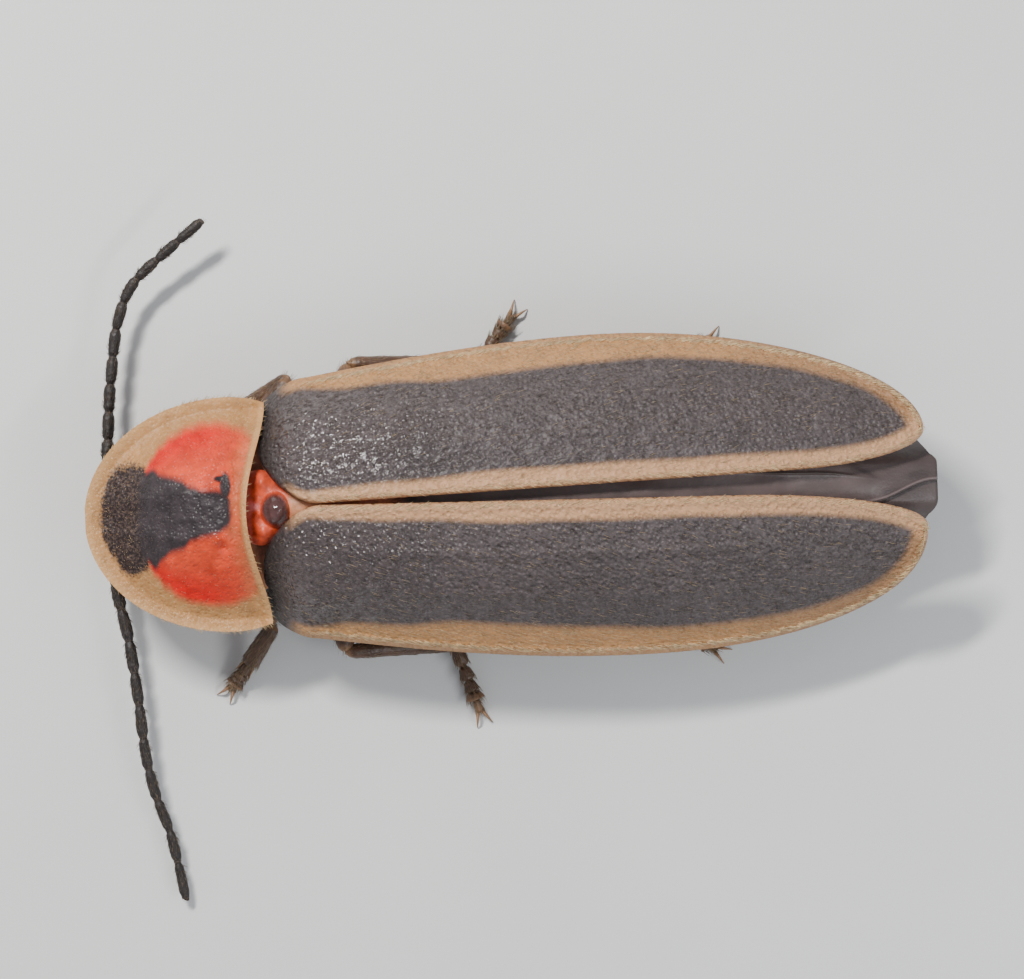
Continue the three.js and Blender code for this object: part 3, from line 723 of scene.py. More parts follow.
def wing_case(name, node, side, opening, spread, roundness, tip_run):
    rows, columns = 340, 110
    run = CASE_LENGTH * (0.004 + 0.9955 * eased_steps(rows))
    run = np.repeat(run[:, None], columns, axis=1)
    share = eased_steps(columns, 0.04, 0.96)
    inner, outer = case_inner_edge(run, tip_run), case_outer_edge(run, roundness)
    y = inner + (outer - inner) * share[None]
    to_side = edge_distance(run, y, lambda at: case_outer_edge(at, roundness))
    to_suture = edge_distance(run, y, lambda at: case_inner_edge(at, tip_run))
    wander = 0.008 * grain(xyz(run, y, 0), 0.3, 17)
    pale = 1 - ramp(to_side - between(run, MARGIN_BAND) + wander, -0.05, 0.05)
    band = 1 - ramp(to_suture - between(run, SUTURE_BAND) + wander, -0.045, 0.045)
    band = band * ramp(run, 0.1, 0.3)
    pale = np.maximum(pale * ramp(run, 0.1, 0.3), band)
    z = case_height(run, y)
    z = z + MARGIN_LIFT * np.maximum(0, (y / outer - MARGIN_FROM) / (1 - MARGIN_FROM)) ** 2
    z += 0.014 * bell(to_suture, 0.03, 0.03) * ramp(run, 0.2, 0.6)
    z += 0.012 * bell(to_side, 0.02, 0.02)
    for rib, size in CASE_RIBS:
        along_rib = ramp(run, 0.3, 1.2) * (1 - ramp(run, 3.6, 5.0))
        z += size * bell(share[None], rib, 0.035) * along_rib
    z += 0.05 * bell(run, 0.42, 0.26) * bell(y, 0.76, 0.2)
    top = xyz(run + CASE_BASE_X - HINGE_X, y * spread + 0.03, z)
    rough = 0.005 * grain(top, 0.045, 3) + 0.005 * grain(top, 0.11, 5) + 0.006 * grain(top, 0.4, 6)
    top[..., 2] += rough * (1 - 0.55 * pale)
    base = 1 - ramp(run, 0.0, 0.25)
    top[..., 0] -= BASE_TUCK * base
    top[..., 2] -= 0.03 * base
    bottom = top.copy()
    bottom[..., 2] -= CASE_THICKNESS + 0.05 * bell(to_side, 0, 0.05) * (1 - ramp(run, 3.5, 5.2))
    top, bottom = mirrored(top, side), mirrored(bottom, side)
    move = np.array([HINGE_X, SUTURE_Y, 0])
    top, bottom = (turned(g, side * math.radians(opening), 0) + move for g in (top, bottom))
    dull = ramp(run, 3.4, 5.2) * (1 - band)
    gloss = bell(y, 0.52, 0.45) * (1 - ramp(run, 0.4, 2.1)) * ramp(run, 0.05, 0.25) * (1 - pale)
    form = Form()
    # dark=base paints shade on the front of the case, where it tucks under the shield's rear rim
    form.shell(top, bottom, side < 0, pale=pale, band=band, dull=dull, gloss=gloss, dark=base)
    form.piece(name, "wing_case", WING_CASE, [node])
    return top, pale, to_side, to_suture


BRIGHT_HAIRS = {LEFT: 0.16, RIGHT: 0.1}  # the share of bright hairs on each disc


def wing_case_coat(name, side, top, pale, to_side, to_suture):
    """Fine hairs on the disc, denser ones along the margins and stout bristles at the rear."""
    rng = np.random.default_rng(40 + side)
    coat = Coat()
    root, normal, along, share = scatter(top, DISC_HAIRS, rng, facing=side)
    bright = (rng.random(len(root)) < BRIGHT_HAIRS[side]) * 0.4
    tones = np.maximum(bright + rng.uniform(0, 0.12, len(root)), 0.8 * pale[cells_at(top, share)])
    outward = np.array([0, side, 0])
    lie = along + 0.3 * outward
    coat.add(rng, root, normal, share, lie, 0.12, (0.045, 0.08), 0.0017, tones, lift=0.28, bend=0.18)
    rows = np.linspace(0, 1, len(top))[:, None]
    behind_base, rear = ramp(rows, 0.12, 0.2), ramp(rows, 0.5, 0.75)
    borders = [
        (to_side, MARGIN_HAIRS, 0.0026, behind_base),
        (to_suture, SUTURE_HAIRS, 0.0024, behind_base),
        (to_side, BRISTLES, 0.005, rear),
    ]
    for border, count, width, where in borders:
        weight = (border < 0.035) * where
        root, normal, along, share = scatter(top, count, rng, weight=weight, facing=side)
        away = outward if border is to_side else -outward
        lie = along + 0.45 * away
        coat.add(rng, root, normal, share, lie, 0.1, (0.05, 0.08), width, 1.0, lift=0.3, bend=0.25)
    coat.piece(name, "wing_case", HAIR)


# Shield

def shield_grid(rows, columns):
    """The shield's outer face, in its own middle plane, and each point's share of the way out to its rim."""
    share = 0.004 + 0.996 * eased_steps(rows, 0.06)
    share = np.repeat(share[:, None], columns, axis=1)
    turn = np.sin(np.pi / 2 * np.linspace(-1, 1, columns))[None]
    x = SHIELD_FRONT_X + (SHIELD_CORNER_X - SHIELD_FRONT_X) * share
    to_widest = np.maximum(0, (SHIELD_WIDEST_X - x) / (SHIELD_WIDEST_X - SHIELD_FRONT_X))
    behind = np.maximum(0, x - SHIELD_WIDEST_X) / (SHIELD_CORNER_X - SHIELD_WIDEST_X)
    half_width = SHIELD_HALF_WIDTH * np.sqrt(np.maximum(0, 1 - to_widest**2)) - SHIELD_CORNER_TUCK * behind**2
    y = half_width * turn
    x = x - SHIELD_BOW * (1 - turn**2) ** 2 * share**3
    ahead = np.maximum(0, SHIELD_WIDEST_X - x) / (SHIELD_WIDEST_X - SHIELD_FRONT_X)
    radius = np.hypot(ahead, y / SHIELD_HALF_WIDTH)
    dome = np.maximum(0, 1 - (radius / 0.9) ** 2) ** 1.3
    z = SHIELD_RIM_TOP + SHIELD_DOME * dome + 0.014 * ramp(radius, 0.75, 1.05)
    z += 0.03 * ramp(share, 0.93, 1.0) - 0.025 * ramp(share, 0.82, 0.92) * (1 - ramp(share, 0.92, 0.97))
    z -= 0.04 * np.maximum(0, 1 - (turn / 0.2) ** 2) * np.sin(np.pi * share)
    pit_x, pit_y = x - PIT_AT[0], np.abs(y) - PIT_AT[1]
    z -= 0.035 * bell(pit_x, 0, 0.045) * bell(pit_y, 0, 0.05)
    z += 0.03 * bell(pit_x, -0.05, 0.04) * bell(pit_y, -0.08, 0.045)
    return xyz(x, y, z), radius


def shield_masks(grid, radius):
    x, across = grid[..., 0], grid[..., 1]
    y = np.abs(across)
    wave = 0.018 * grain(grid, 0.16, 8) + 0.008 * grain(grid, 0.06, 9)
    mark = np.where(across > 0, between(x, BLACK_RIGHT), between(x, BLACK_LEFT))
    black = ramp(mark - y + wave, -0.045, 0.045) * ramp(x + wave, -3.98, -3.88)
    black = black * (1 - ramp(x + wave, -3.15, -3.1))
    pit_x, pit_y = x - PIT_AT[0], across - PIT_AT[1]
    lobe = bell(pit_x, 0.035, 0.055) * bell(pit_y, -0.04, 0.13)
    arm = bell(pit_x, -0.01, 0.06) * bell(pit_y, 0.02, 0.03)
    black = np.maximum(black, ramp(np.maximum(lobe, arm) + 2 * wave, 0.3, 0.65))
    shine = bell(pit_x, -0.03, 0.07) * bell(y - PIT_AT[1], -0.07, 0.09)
    front = ramp(between(x, FRONT_PATCH) - y + 2 * wave, -0.09, 0.09)
    front = front * ramp(x, -4.34, -4.2) * (1 - ramp(x, -3.88, -3.82))
    rear = SHIELD_CORNER_X - SHIELD_BOW * (1 - (y / SHIELD_HALF_WIDTH) ** 2) ** 2
    red = ramp(between(x, RED_PATCH) - y + wave, -0.07, 0.05) * ramp(x + wave, -3.9, -3.84)
    red = red * (1 - 0.4 * ramp(x - rear + 2 * wave, -0.22, -0.05))
    red = red * (1 - 0.85 * ramp(x - rear, -0.07, -0.035))
    deep = ramp(y / np.maximum(between(x, RED_PATCH), 0.1), 0.5, 0.95) * (1 - ramp(x, -3.4, -3.0))
    rim = np.maximum(ramp(radius, 0.93, 0.99), ramp(x - rear, -0.05, -0.02))
    return {"black": black, "front": front, "red": red, "deep": deep, "rim": rim, "shine": shine}


def shield():
    grid, radius = shield_grid(200, 236)
    masks = shield_masks(grid, radius)
    grid[..., 2] += 0.003 * grain(grid, 0.04, 11) + 0.007 * grain(grid, 0.17, 12)
    top = grid + SHIELD_SHIFT
    bottom = top.copy()
    bottom[..., 2] -= SHIELD_THICKNESS * (1 - 0.45 * ramp(radius, 0.8, 1.0))
    form = Form()
    form.shell(top, bottom, True, **masks)
    form.piece("pronotum_shield", "shield", SHIELD, ["pronotum"])
    rng = np.random.default_rng(5)
    coat = Coat()
    even = 1 - 0.6 * masks["red"] + 0.8 * masks["front"]
    for weight in (even, ramp(radius, 0.86, 0.98)):
        root, normal, along, share = scatter(top, SHIELD_HAIRS, rng, weight=weight)
        at = cells_at(top, share)
        on_front = masks["front"][at] * (rng.random(len(root)) < 0.7)
        dark = np.maximum.reduce([masks["black"][at], on_front, 0.5 * masks["red"][at]])
        centre = np.array([SHIELD_WIDEST_X, SHIELD_SHIFT_Y, 0.9])
        lie = unit(root - centre) * np.array([0.4, 0.9, 0.2]) + np.array([0.8, 0, 0])
        tones = 0.85 - 0.7 * dark
        coat.add(rng, root, normal, share, lie, 0.22, (0.035, 0.06), 0.0021, tones, lift=0.25, bend=0.2)
    coat.piece("pronotum_hair", "shield", HAIR)


# Trunk. Its stations are place along X, half width, top, middle height and bottom.

PROTHORAX = [
    (-3.44, 0.34, 1.0, 0.62, 0.42), (-3.32, 0.56, 1.2, 0.62, 0.34), (-3.2, 0.56, 1.2, 0.62, 0.3),
    (-3.12, 0.56, 1.1, 0.62, 0.34), (-3.03, 0.44, 0.94, 0.62, 0.42),
]
NECK = [(-3.62, 0.22, 0.72, 0.54, 0.38), (-3.34, 0.3, 0.84, 0.58, 0.4)]
WAIST = [(-3.12, 0.42, 0.94, 0.62, 0.42), (-2.84, 0.46, 0.9, 0.58, 0.42)]
THORAX = [
    (-2.92, 0.5, 0.88, 0.56, 0.42), (-2.82, 0.66, 1.0, 0.56, 0.38), (-2.5, 0.74, 1.0, 0.58, 0.3),
    (-2.1, 0.74, 1.0, 0.58, 0.3), (-1.86, 0.72, 0.68, 0.54, 0.3), (-1.52, 0.68, 0.62, 0.5, 0.33),
    (-1.42, 0.56, 0.58, 0.48, 0.38),
]
THORAX_TO_ABDOMEN = [(-1.58, 0.52, 0.56, 0.5, 0.4), (-1.28, 0.5, 0.55, 0.5, 0.42)]
SCUTELLUM_CREST = [
    (-3.03, 0.26, 1.23, 1.17, 1.1), (-2.97, 0.31, 1.27, 1.18, 1.08), (-2.88, 0.33, 1.3, 1.18, 1.06),
    (-2.8, 0.3, 1.32, 1.18, 1.06), (-2.7, 0.22, 1.34, 1.18, 1.06), (-2.6, 0.17, 1.38, 1.2, 1.08),
    (-2.48, 0.09, 1.42, 1.25, 1.13), (-2.33, 0.02, 1.44, 1.32, 1.22),
]
SCUTELLUM_PLATE = [
    (-3.04, 0.52, 1.06, 1.02, 0.98), (-2.9, 0.7, 1.07, 1.02, 0.97), (-2.6, 0.64, 1.06, 1.02, 1.0),
]


def trunk_rings(stations, rows, sides, power=0.8):
    """Rings across X through stations."""
    at = np.array(stations, float)
    x = np.linspace(at[0, 0], at[-1, 0], rows)
    blur = np.hanning(rows // 8 * 2 + 3)[1:-1]
    blur = blur / blur.sum()

    def eased(values):
        values = np.pad(np.interp(x, at[:, 0], values), len(blur) // 2, mode="edge")
        return np.convolve(values, blur, mode="valid")[:, None]

    half_width, high, middle, low = (eased(at[:, k]) for k in range(1, 5))
    up, out = oval(sides, power)
    return xyz(x[:, None], out * half_width, middle + up * np.where(up > 0, high - middle, middle - low))


def ease_ends(rings, share=0.04):
    """Rounds off the first and last rings towards their middles."""
    s = np.linspace(0, 1, len(rings))
    size = np.maximum(0.05, quarter_round(np.minimum(s, 1 - s) / share))[:, None, None]
    middle = rings.mean(axis=1, keepdims=True)
    return middle + (rings - middle) * size


def body_hair(name, slot, rings, count):
    """Short hairs on rings across X, pointing back along them."""
    rng = np.random.default_rng(count)
    root, normal, along, share = scatter(rings, count, rng)
    above = root[:, 2] > 0.05
    root, normal, along, share = (part[above] for part in (root, normal, along, share))
    coat = Coat()
    coat.add(rng, root, normal, share, along, 0.2, (0.05, 0.09), 0.0026, (0.3, 0.8), lift=0.3, bend=0.2)
    coat.piece(name, slot, DARK_HAIR)


def soft_joint(stations):
    """A short, slightly uneven sleeve between two stiff parts."""
    rings = trunk_rings(stations, 24, 40)
    rings[..., 2] += 0.012 * grain(rings, 0.06, 18)
    return rings


def prothorax():
    rings = ease_ends(trunk_rings(PROTHORAX, 40, 48), 0.12) + SHIELD_SHIFT
    rings[..., 2] += 0.01 * grain(rings, 0.1, 4)
    form = Form()
    form.tube(rings, pale=ramp(rings[..., 2], 0.6, 1.0))
    for stations in (NECK, WAIST):
        form.tube(soft_joint(stations) + SHIELD_SHIFT, pale=0.35)
    form.piece("prothorax", "shield", TRUNK)
    body_hair("prothorax_hair", "shield", rings, 900)


def thorax():
    rings = ease_ends(trunk_rings(THORAX, 90, 64), 0.06)
    x, y, z = np.moveaxis(rings, -1, 0)
    below = 1 - ramp(z, 0.4, 0.6)
    groove = 0.03 * bell(x, -2.36, 0.025) + 0.02 * bell(y, 0, 0.02)
    groove += 0.02 * bell(x - 0.2 * np.abs(y), -1.98, 0.03)
    rings[..., 2] += below * groove + 0.008 * grain(rings, 0.09, 6)
    form = Form()
    form.tube(rings, pale=0.6 * ramp(z, 0.75, 0.95))
    form.tube(soft_joint(THORAX_TO_ABDOMEN), pale=0.35)
    form.piece("thorax_shell", "trunk", TRUNK, ["thorax"])
    body_hair("thorax_hair", "trunk", rings, 2400)


def scutellum():
    """An orange plate behind the shield with a dark glossy knob, which runs out into a tan triangle."""
    rings = trunk_rings(SCUTELLUM_CREST, 220, 128, power=1.0)
    x, y = rings[..., 0], rings[..., 1]
    upper = ramp(rings[..., 2], 1.08, 1.18)
    knob = np.maximum(0, 1 - ((x + 2.76) / 0.125) ** 2 - ((y + 0.025) / 0.15) ** 2) ** 0.8
    lobe = bell(x, -2.875, 0.06) * bell(np.abs(y), 0.22, 0.07)
    rings[..., 2] += upper * (0.13 * knob + 0.05 * lobe + 0.006 * grain(rings, 0.05, 15))
    # A pink membrane spot with a painted highlight, plus painted light on the front of the plate against the
    # shadow of the shield's rim.
    pink = bell(x, -2.93, 0.05) * bell(y, 0.01, 0.035) + 0.45 * (1 - ramp(x, -2.99, -2.92))
    tan = ramp(x + 0.01 * grain(rings, 0.06, 16), -2.69, -2.6)
    form = Form()
    form.tube(rings + SCUTELLUM_SHIFT, dark=ramp(knob, 0.02, 0.6), pale=tan, pink=pink)
    plate = trunk_rings(SCUTELLUM_PLATE, 30, 56)
    # the low plate: brown, lightened with painted light because it lies in deep shade under the shield and
    # cases
    form.tube(ease_ends(plate, 0.1) + SCUTELLUM_SHIFT, shade=1.0)
    form.piece("scutellum_plate", "scutellum", SCUTELLUM, ["scutellum"])


# Abdomen

ABDOMEN_FRONT = -1.38
SEGMENT_LENGTHS = [0.52, 0.56, 0.6, 0.58, 0.54, 0.5, 0.36, 0.24]
LANTERN_FROM, LANTERN_TO = 4, 6
ABDOMEN_HALF_WIDTH = [(-1.4, 0.5), (-0.9, 0.66), (0, 0.84), (0.8, 0.88), (1.6, 0.76), (2.2, 0.5), (2.55, 0.2)]
ABDOMEN_LOW = [(-1.4, 0.46), (-0.9, 0.26), (-0.25, -0.03), (1.6, -0.03), (2.1, 0.03), (2.55, 0.1)]
ABDOMEN_HIGH = [(-1.4, 0.58), (-0.9, 0.66), (0, 0.7), (0.6, 0.68), (1.2, 0.6), (2.0, 0.44), (2.55, 0.3)]


def abdomen():
    """Eight overlapping rings of shell, the fifth and sixth glowing below."""
    ends = ABDOMEN_FRONT + np.cumsum(SEGMENT_LENGTHS)
    starts = ends - np.array(SEGMENT_LENGTHS)
    stations, segment, late = [], [], []
    for k, (a, b) in enumerate(zip(starts, ends)):
        for share in (0.0, 0.04, 0.1, 0.2, 0.35, 0.5, 0.65, 0.8, 0.9, 0.96, 1.0):
            stations.append(a + (b - a) * share + 1e-3 * k)
            segment.append(k)
            late.append(share)
    x, late, segment = np.array(stations), np.array(late), np.array(segment)
    size = 0.945 + 0.055 * ramp(late, 0.0, 0.3) - 0.02 * ramp(late, 0.93, 1.0)
    high, low = between(x, ABDOMEN_HIGH), between(x, ABDOMEN_LOW)
    middle = low + (high - low) * 0.6
    columns = 80
    up, out = oval(columns)
    reach = np.where(up > 0, ((high - middle) * size)[:, None], ((middle - low) * size)[:, None])
    half_width = between(x, ABDOMEN_HALF_WIDTH)[:, None]
    y = out * half_width * size[:, None]
    z = np.maximum(middle[:, None] + up * reach, 0.0)
    rings = xyz(x[:, None], y, z)
    edge = bell(np.abs(y) / half_width, 0.86, 0.05)
    rings[..., 2] += np.where(z > 0.02, 0.02 * edge * (1 - ramp(z, 0.3, 0.45)), 0)
    rings = ease_ends(rings, 0.03)
    rings[..., 2] = np.maximum(rings[..., 2], 0)
    glowing = (segment >= LANTERN_FROM) & (segment < LANTERN_TO)
    glow = glowing.astype(float)[:, None] * (1 - ramp(z, 0.26, 0.34))
    hinge = (1 - ramp(late, 0.03, 0.14))[:, None] * np.ones(columns)
    form = Form()
    form.tube(rings, lantern=glow, hinge=hinge)
    form.piece("abdomen_shell", "trunk", ABDOMEN, ["abdomen", "lantern", "abdomen_tip"])
    body_hair("abdomen_hair", "trunk", rings, 2600)


# Folded hind wings

WING_ROOT_X, WING_TIP_X = -2.36, 2.87
WING_HALF_WIDTH = [
    (-2.36, 0.1), (-1.95, 0.3), (-1.5, 0.62), (-0.5, 0.86), (0.8, 0.92), (1.8, 0.74),
    (2.5, 0.48), (2.75, 0.4), (2.9, 0.25),
]
WING_DROP = 0.17  # how far below the cases the wings lie along the middle
WING_SIDE_DROP = 0.25  # how much further below them they lie at the sides
WING_LAP = {LEFT: 0.1, RIGHT: 0.16}  # how far each wing reaches over the middle, the right one on top
VEINS = (0.3, 0.47, 0.62, 0.8)

# Dark folds near the tips: place along X and across, slope, length, width and depth of colour
SMUDGES = [
    (2.49, -0.085, 0.0, 0.09, 0.03, 1.0), (2.72, 0.06, 0.1, 0.09, 0.03, 0.8),
    (2.25, 0.1, -0.5, 0.12, 0.025, 0.7),
]


def hind_wing(side, name, node):
    rows, columns = 260, 110
    s = np.linspace(0, 1, rows)[:, None] * np.ones(columns)
    t = np.linspace(0, 1, columns)[None] * np.ones((rows, 1))
    x = WING_ROOT_X + (WING_TIP_X - WING_ROOT_X) * s
    width = between(x, WING_HALF_WIDTH) - (0.03 if side == RIGHT else -0.03) * ramp(x, 2.2, 2.8)
    inner = -WING_LAP[side] + (WING_LAP[side] + 0.01) * (ramp(x, 2.28, 2.84) if side == RIGHT else 0)
    y = inner + (width - inner) * t
    corner = ramp(s, 0.9, 1.0) * np.maximum(0, (t - 0.6) / 0.4) ** 2.5
    x = x - 0.07 * corner * (1.6 if side == LEFT else 1.0)
    plain = 1 - ramp(x, 1.9, 2.4)
    vein = plain * sum(bell(t, at, 0.014) for at in VEINS)
    signed = side * y
    # edge: a line along the right wing's inner edge near the tip, raised a little and lightened as a painted
    # highlight
    edge = bell(y - inner, 0.012, 0.01) * ramp(x, 2.2, 2.35) * (side == RIGHT)
    smudge = bell(x, -1.6, 0.09) + 0.65 * ramp(x, 2.0, 2.6)
    for at, across, slope, length, width, depth in SMUDGES:
        smudge += depth * bell(x, at, length) * bell(signed - slope * (x - at), across, width)
    z = case_height(x - CASE_BASE_X, np.abs(y)) - WING_DROP - WING_SIDE_DROP * ramp(np.abs(y), 0.15, 0.5)
    folds = grain(xyz(x * 0.5, signed, 0), 0.16, 21)
    z = z + 0.014 * vein + 0.01 * edge + 0.016 * folds
    z = z - (0.035 if side == LEFT else 0.0)
    top = mirrored(xyz(x, y, z), side)
    bottom = top - np.array([0, 0, 0.02])
    form = Form()
    masks = {"vein": np.clip(vein, 0, 1), "crease": edge, "smudge": np.clip(smudge, 0, 1)}
    form.shell(top, bottom, side < 0, root=1 - ramp(x, -1.85, -1.6), **masks)
    form.piece(name, "wing", WING, [node])


# Head, eyes and feelers

def on_side(points, side):
    """Points given for the right side of the head, moved to either side."""
    return [(x, SHIELD_SHIFT_Y + side * y, z) for x, y, z in points]


def mouth(form, side):
    """One jaw, one feeler socket and one palp of four joints."""
    jaw = smooth_path(on_side([(-4.02, 0.15, 0.33), (-4.14, 0.14, 0.29), (-4.19, 0.03, 0.26)], side), 22)
    form.tube(limb(jaw, np.linspace(0.045, 0.008, 22), np.linspace(0.04, 0.008, 22)), pale=0.7)
    socket = smooth_path(on_side([(-3.98, 0.16, 0.44), (-4.05, 0.2, 0.43)], side), 10)
    form.tube(limb(socket, 0.07, 0.07), pale=0.5)
    palp = [(-3.9, 0.1, 0.34), (-3.98, 0.14, 0.27), (-4.05, 0.14, 0.2), (-4.1, 0.11, 0.15)]
    knots = smooth_path(on_side(palp, side), 61)
    for k in range(4):
        share, width = rounded(14, 0.3)
        part = points_at((k + share) / 4, knots)
        wide, high = (0.03 + 0.006 * k) * width, (0.03 + 0.004 * k) * width
        form.tube(limb(part, wide, high), pale=0.3 + 0.2 * share)


def head():
    form = Form()
    cranium = ball(HEAD_AT, HEAD_HALF, 50, 64)
    x, y, z = np.moveaxis(cranium - np.array(HEAD_AT), -1, 0)
    cranium[..., 2] -= 0.04 * bell(x, -0.2, 0.1) * bell(y, 0, 0.1) * (z > 0)
    cranium[..., 0] += 0.05 * bell(z, -0.02, 0.08) * bell(np.abs(y), 0.16, 0.06) * (x < 0)
    cranium = roughened(cranium, HEAD_AT, 0.006, 0.05, 14)
    form.tube(cranium[::-1], pale=0.0)
    face = ball((-3.99, SHIELD_SHIFT_Y, 0.39), (0.14, 0.19, 0.13), 24, 32)
    form.tube(face[::-1], pale=0.35)
    for side in (LEFT, RIGHT):
        mouth(form, side)
    form.piece("head_shell", "head", HEAD, ["head"])
    rng = np.random.default_rng(12)
    root, normal, along, share = scatter(cranium, HEAD_HAIRS, rng)
    outward = unit(root - np.array(HEAD_AT))
    forward = np.array([-0.8, 0, -0.2])
    coat = Coat()
    coat.add(rng, root, outward, share, forward, 0.3, (0.04, 0.07), 0.0028, 0.4, lift=0.35, bend=0.2)
    coat.piece("head_hair", "head", DARK_HAIR)


def eye(side, name, node):
    at = np.array(HEAD_AT) + np.array([EYE_OFFSET[0], side * EYE_OFFSET[1], EYE_OFFSET[2]])
    form = Form()
    form.tube(ball(at, (EYE_RADIUS,) * 3, 70, 110)[::-1])
    form.piece(name, "eye", EYE, [node])


def feeler(name, coat, strip):
    """Eleven joints, the first long, each a little wider at its far end."""
    lengths = np.array([1.5, 0.8, 1.0] + [1.0] * (FEELER_JOINTS - 4) + [1.15])
    ends = np.concatenate([[0], np.cumsum(lengths) / lengths.sum()])
    spine = smooth_path(FEELER_PATHS[name], 600)
    form = Form()
    rng = np.random.default_rng(31 + strip)
    for k in range(FEELER_JOINTS):
        share, width = rounded(22, 0.22)
        at = ends[k] + (ends[k + 1] - ends[k]) * (share * 1.02 - 0.01)
        path = points_at(at, spine)
        path += 1e-5 * np.arange(len(path))[:, None]
        half = (0.058 - 0.012 * ends[k]) * (0.86 + 0.14 * share) * np.maximum(width, 0.72)
        rings = limb(path, half, 0.92 * half, 18)
        rings = roughened(rings, path[:, None], 0.003, 0.03, 40 + k)
        form.tube(rings, pale=0.6 * (1 - ramp(share, 0.0, 0.1)) + 0.7 * ramp(share, 0.95, 1.0))
        root, normal, along, place = scatter(rings, JOINT_HAIRS, rng)
        along_spine = ends[k] + (ends[k + 1] - ends[k]) * place[:, 0]
        outward = unit(root - spine[(along_spine * (len(spine) - 1)).astype(int)])
        uv = np.stack([(k + place[:, 0]) / FEELER_JOINTS, (strip + place[:, 1]) / 2], axis=1)
        coat.add(rng, root, outward, uv, along, 0.15, (0.025, 0.05), 0.0018, (0.0, 0.4), lift=0.5, bend=0.25)
    form.piece(name + "_joints", "antenna", FEELER, [name])


# Legs

TOE_JOINTS = [(0.0, 0.34), (0.34, 0.54), (0.54, 0.7), (0.7, 0.82), (0.8, 1.0)]


def stretch(a, b, share):
    return np.array(a)[None] * (1 - share[:, None]) + np.array(b)[None] * share[:, None]


def claws(form, ankle, toe, forward):
    """Two claws at the toe and two spurs at the ankle."""
    sideways = np.array([-forward[1], forward[0], 0])
    for way in (-1, 1):
        root = ankle + (toe - ankle) * 0.98 + sideways * way * 0.02
        tip = root + forward * 0.13 + sideways * way * 0.05
        point = np.array([tip[0], tip[1], 0.012])
        path = smooth_path([root, 0.5 * (root + tip) + np.array([0, 0, 0.02]), point], 16)
        claw = np.linspace(0.018, 0.004, 16)
        form.tube(limb(path, claw, claw, 10), pale=0.9)
        spur = ankle + sideways * way * 0.05
        path = stretch(spur, spur + forward * 0.1 + sideways * way * 0.02, np.linspace(0, 1, 6))
        spine = np.linspace(0.012, 0.002, 6)
        form.tube(limb(path, spine, spine, 6), pale=0.9)


def leg_skins(hip, knee, ankle, toe):
    """Thigh, shin and five toe joints: the rings, paleness and middle line of each."""
    share, width = rounded(30, 0.16)
    bow = np.array([0, 0, 0.03]) * np.sin(np.pi * share)[:, None]
    thigh = stretch(hip, knee, share) + bow
    half = 0.125 * (0.72 + 0.28 * np.sin(np.pi * np.clip(share * 1.1, 0, 1))) * width
    skins = [(limb(thigh, half, 0.9 * half, 22), 0.6 * ramp(share, 0.86, 0.98), thigh)]
    share, width = rounded(30, 0.12)
    shin = stretch(knee, ankle, share) + 0.4 * bow
    half = (0.062 + 0.022 * share) * np.maximum(width, 0.4)
    pale = 0.6 * (1 - ramp(share, 0.02, 0.12)) + 0.5 * ramp(share, 0.9, 1.0)
    skins.append((limb(shin, half, 0.9 * half, 20), pale, shin))
    for k, (a, b) in enumerate(TOE_JOINTS):
        share, width = rounded(18, 0.25)
        path = stretch(ankle + (toe - ankle) * a, ankle + (toe - ankle) * b, share)
        flare = (0.72 + 0.45 * share) if k < 4 else (0.55 + 0.1 * share)
        half = 0.062 * flare * np.maximum(width, 0.35) * (1.25 if k == 3 else 1.0)
        skins.append((limb(path, half, 0.8 * half, 16), 0.25 + 0.5 * share * (k > 2), path))
    return skins


def leg(name, coat, strip):
    hip, knee, ankle, toe = (np.array(p, float) for p in LEGS[name])
    form = Form()
    rng = np.random.default_rng(60 + strip)
    form.tube(ball(hip, (0.19, 0.16, 0.15), 20, 24)[::-1], pale=0.1)
    claws(form, ankle, toe, unit((toe - ankle) * np.array([1, 1, 0])))
    skins = leg_skins(hip, knee, ankle, toe)
    for k, (rings, pale, path) in enumerate(skins):
        rings[..., 2] = np.maximum(rings[..., 2], 0.0)
        rings = roughened(rings, path[:, None], 0.003, 0.04, 70 + k)
        form.tube(rings, pale=pale)
        root, normal, along, place = scatter(rings, THIGH_HAIRS if k < 2 else TOE_HAIRS, rng)
        outward = unit(root - path[(place[:, 0] * (len(path) - 1)).astype(int)])
        uv = np.stack([(k + place[:, 0]) / len(skins), (strip + place[:, 1]) / len(LEGS)], axis=1)
        above = root[:, 2] > 0.02
        coat.add(rng, root, outward, uv, along, 0.15, (0.035, 0.08), 0.0021, (0.4, 1.0), 0.5, 0.2, above)
    form.piece(name + "_shell", "leg", LEG, [name])


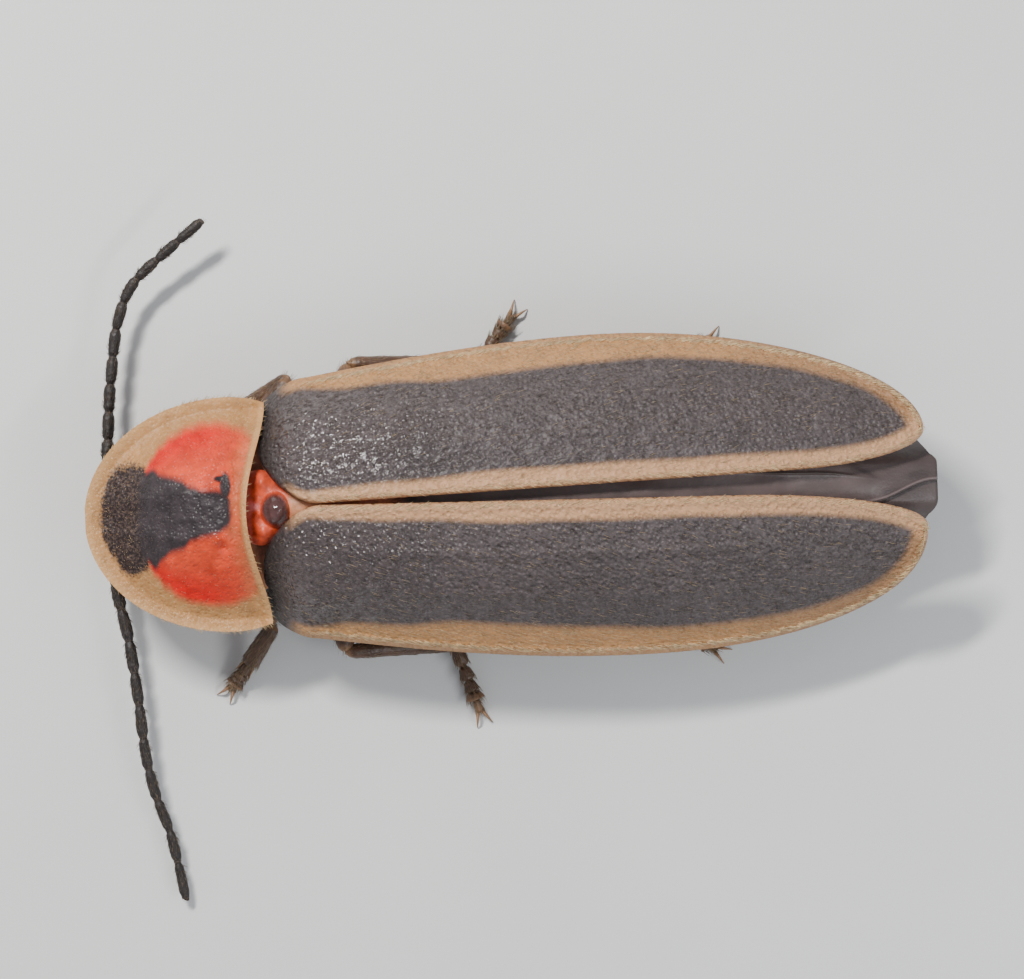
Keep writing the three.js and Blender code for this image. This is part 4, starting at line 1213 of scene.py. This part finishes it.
for name, pose in CASE_POSES.items():
    side = pose["side"]
    parts = wing_case(f"elytron_{name}", f"wing_case_{name}", **pose)
    wing_case_coat(f"elytron_{name}_hair", side, *parts)
    hind_wing(side, f"wing_{name}", f"hind_wing_{name}")
    eye(side, f"compound_eye_{name}", f"eye_{name}")
shield()
prothorax()
thorax()
scutellum()
abdomen()
head()
feeler_coat = Coat()
for strip, name in enumerate(FEELER_PATHS):
    feeler(name, feeler_coat, strip)
feeler_coat.piece("antenna_hair", "antenna", DARK_HAIR)
leg_coat = Coat()
for strip, name in enumerate(LEGS):
    leg(name, leg_coat, strip)
leg_coat.piece("leg_hair", "leg", DARK_HAIR)


# Floor, light and camera

def floor():
    mesh = bpy.data.meshes.new("floor")
    half = 0.4
    corners = [(-half, -half, 0), (half, -half, 0), (half, half, 0), (-half, half, 0)]
    mesh.from_pydata(corners, [], [(0, 1, 2, 3)])
    n = Nodes("floor_paper")
    n.finish(n.varied((0.74, 0.74, 0.73), 3.0, 0.03), 0.8, n.bump(n.noise(0.15), 0.01, 0.3))
    mesh.materials.append(n.material)
    add_object("floor", mesh)


def area_light(name, at, size, power, colour):
    """A square light that faces the origin."""
    light = bpy.data.lights.new(name, "AREA")
    light.size = size * MM
    light.energy = power
    light.color = colour
    lamp = add_object(name, light)
    lamp.location = np.array(at) * MM
    x, y, z = at
    lamp.rotation_euler = (math.atan2(math.hypot(x, y), z), 0, math.atan2(-x, y))


VIEW_TURN = math.radians(2.4)
VIEW_CENTRE = (-0.747, 0.076)
VIEW_WIDTH = 8.72
LENS = 250.0
SENSOR = 36.0


def camera():
    data = bpy.data.cameras.new("camera")
    data.lens = LENS
    data.sensor_width = SENSOR
    data.clip_start = 0.001
    data.clip_end = 10
    made = add_object("camera", data)
    made.location = (VIEW_CENTRE[0] * MM, VIEW_CENTRE[1] * MM, (VIEW_WIDTH * LENS / SENSOR + 1.0) * MM)
    made.rotation_euler = (0, 0, -VIEW_TURN)
    bpy.context.scene.camera = made


floor()
area_light("key", (-22, 30, 50), 15, 0.155, (1.0, 0.98, 0.95))
area_light("fill", (30, -25, 45), 40, 0.08, (0.95, 0.98, 1.0))
area_light("glint", (-23, 41, 27), 2.1, 0.1, (1.0, 0.99, 0.97))
world = bpy.data.worlds.new("studio")
world.use_nodes = True
background = world.node_tree.nodes["Background"].inputs
background["Color"].default_value = (0.9, 0.93, 1.0, 1)
background["Strength"].default_value = 0.45
bpy.context.scene.world = world
camera()
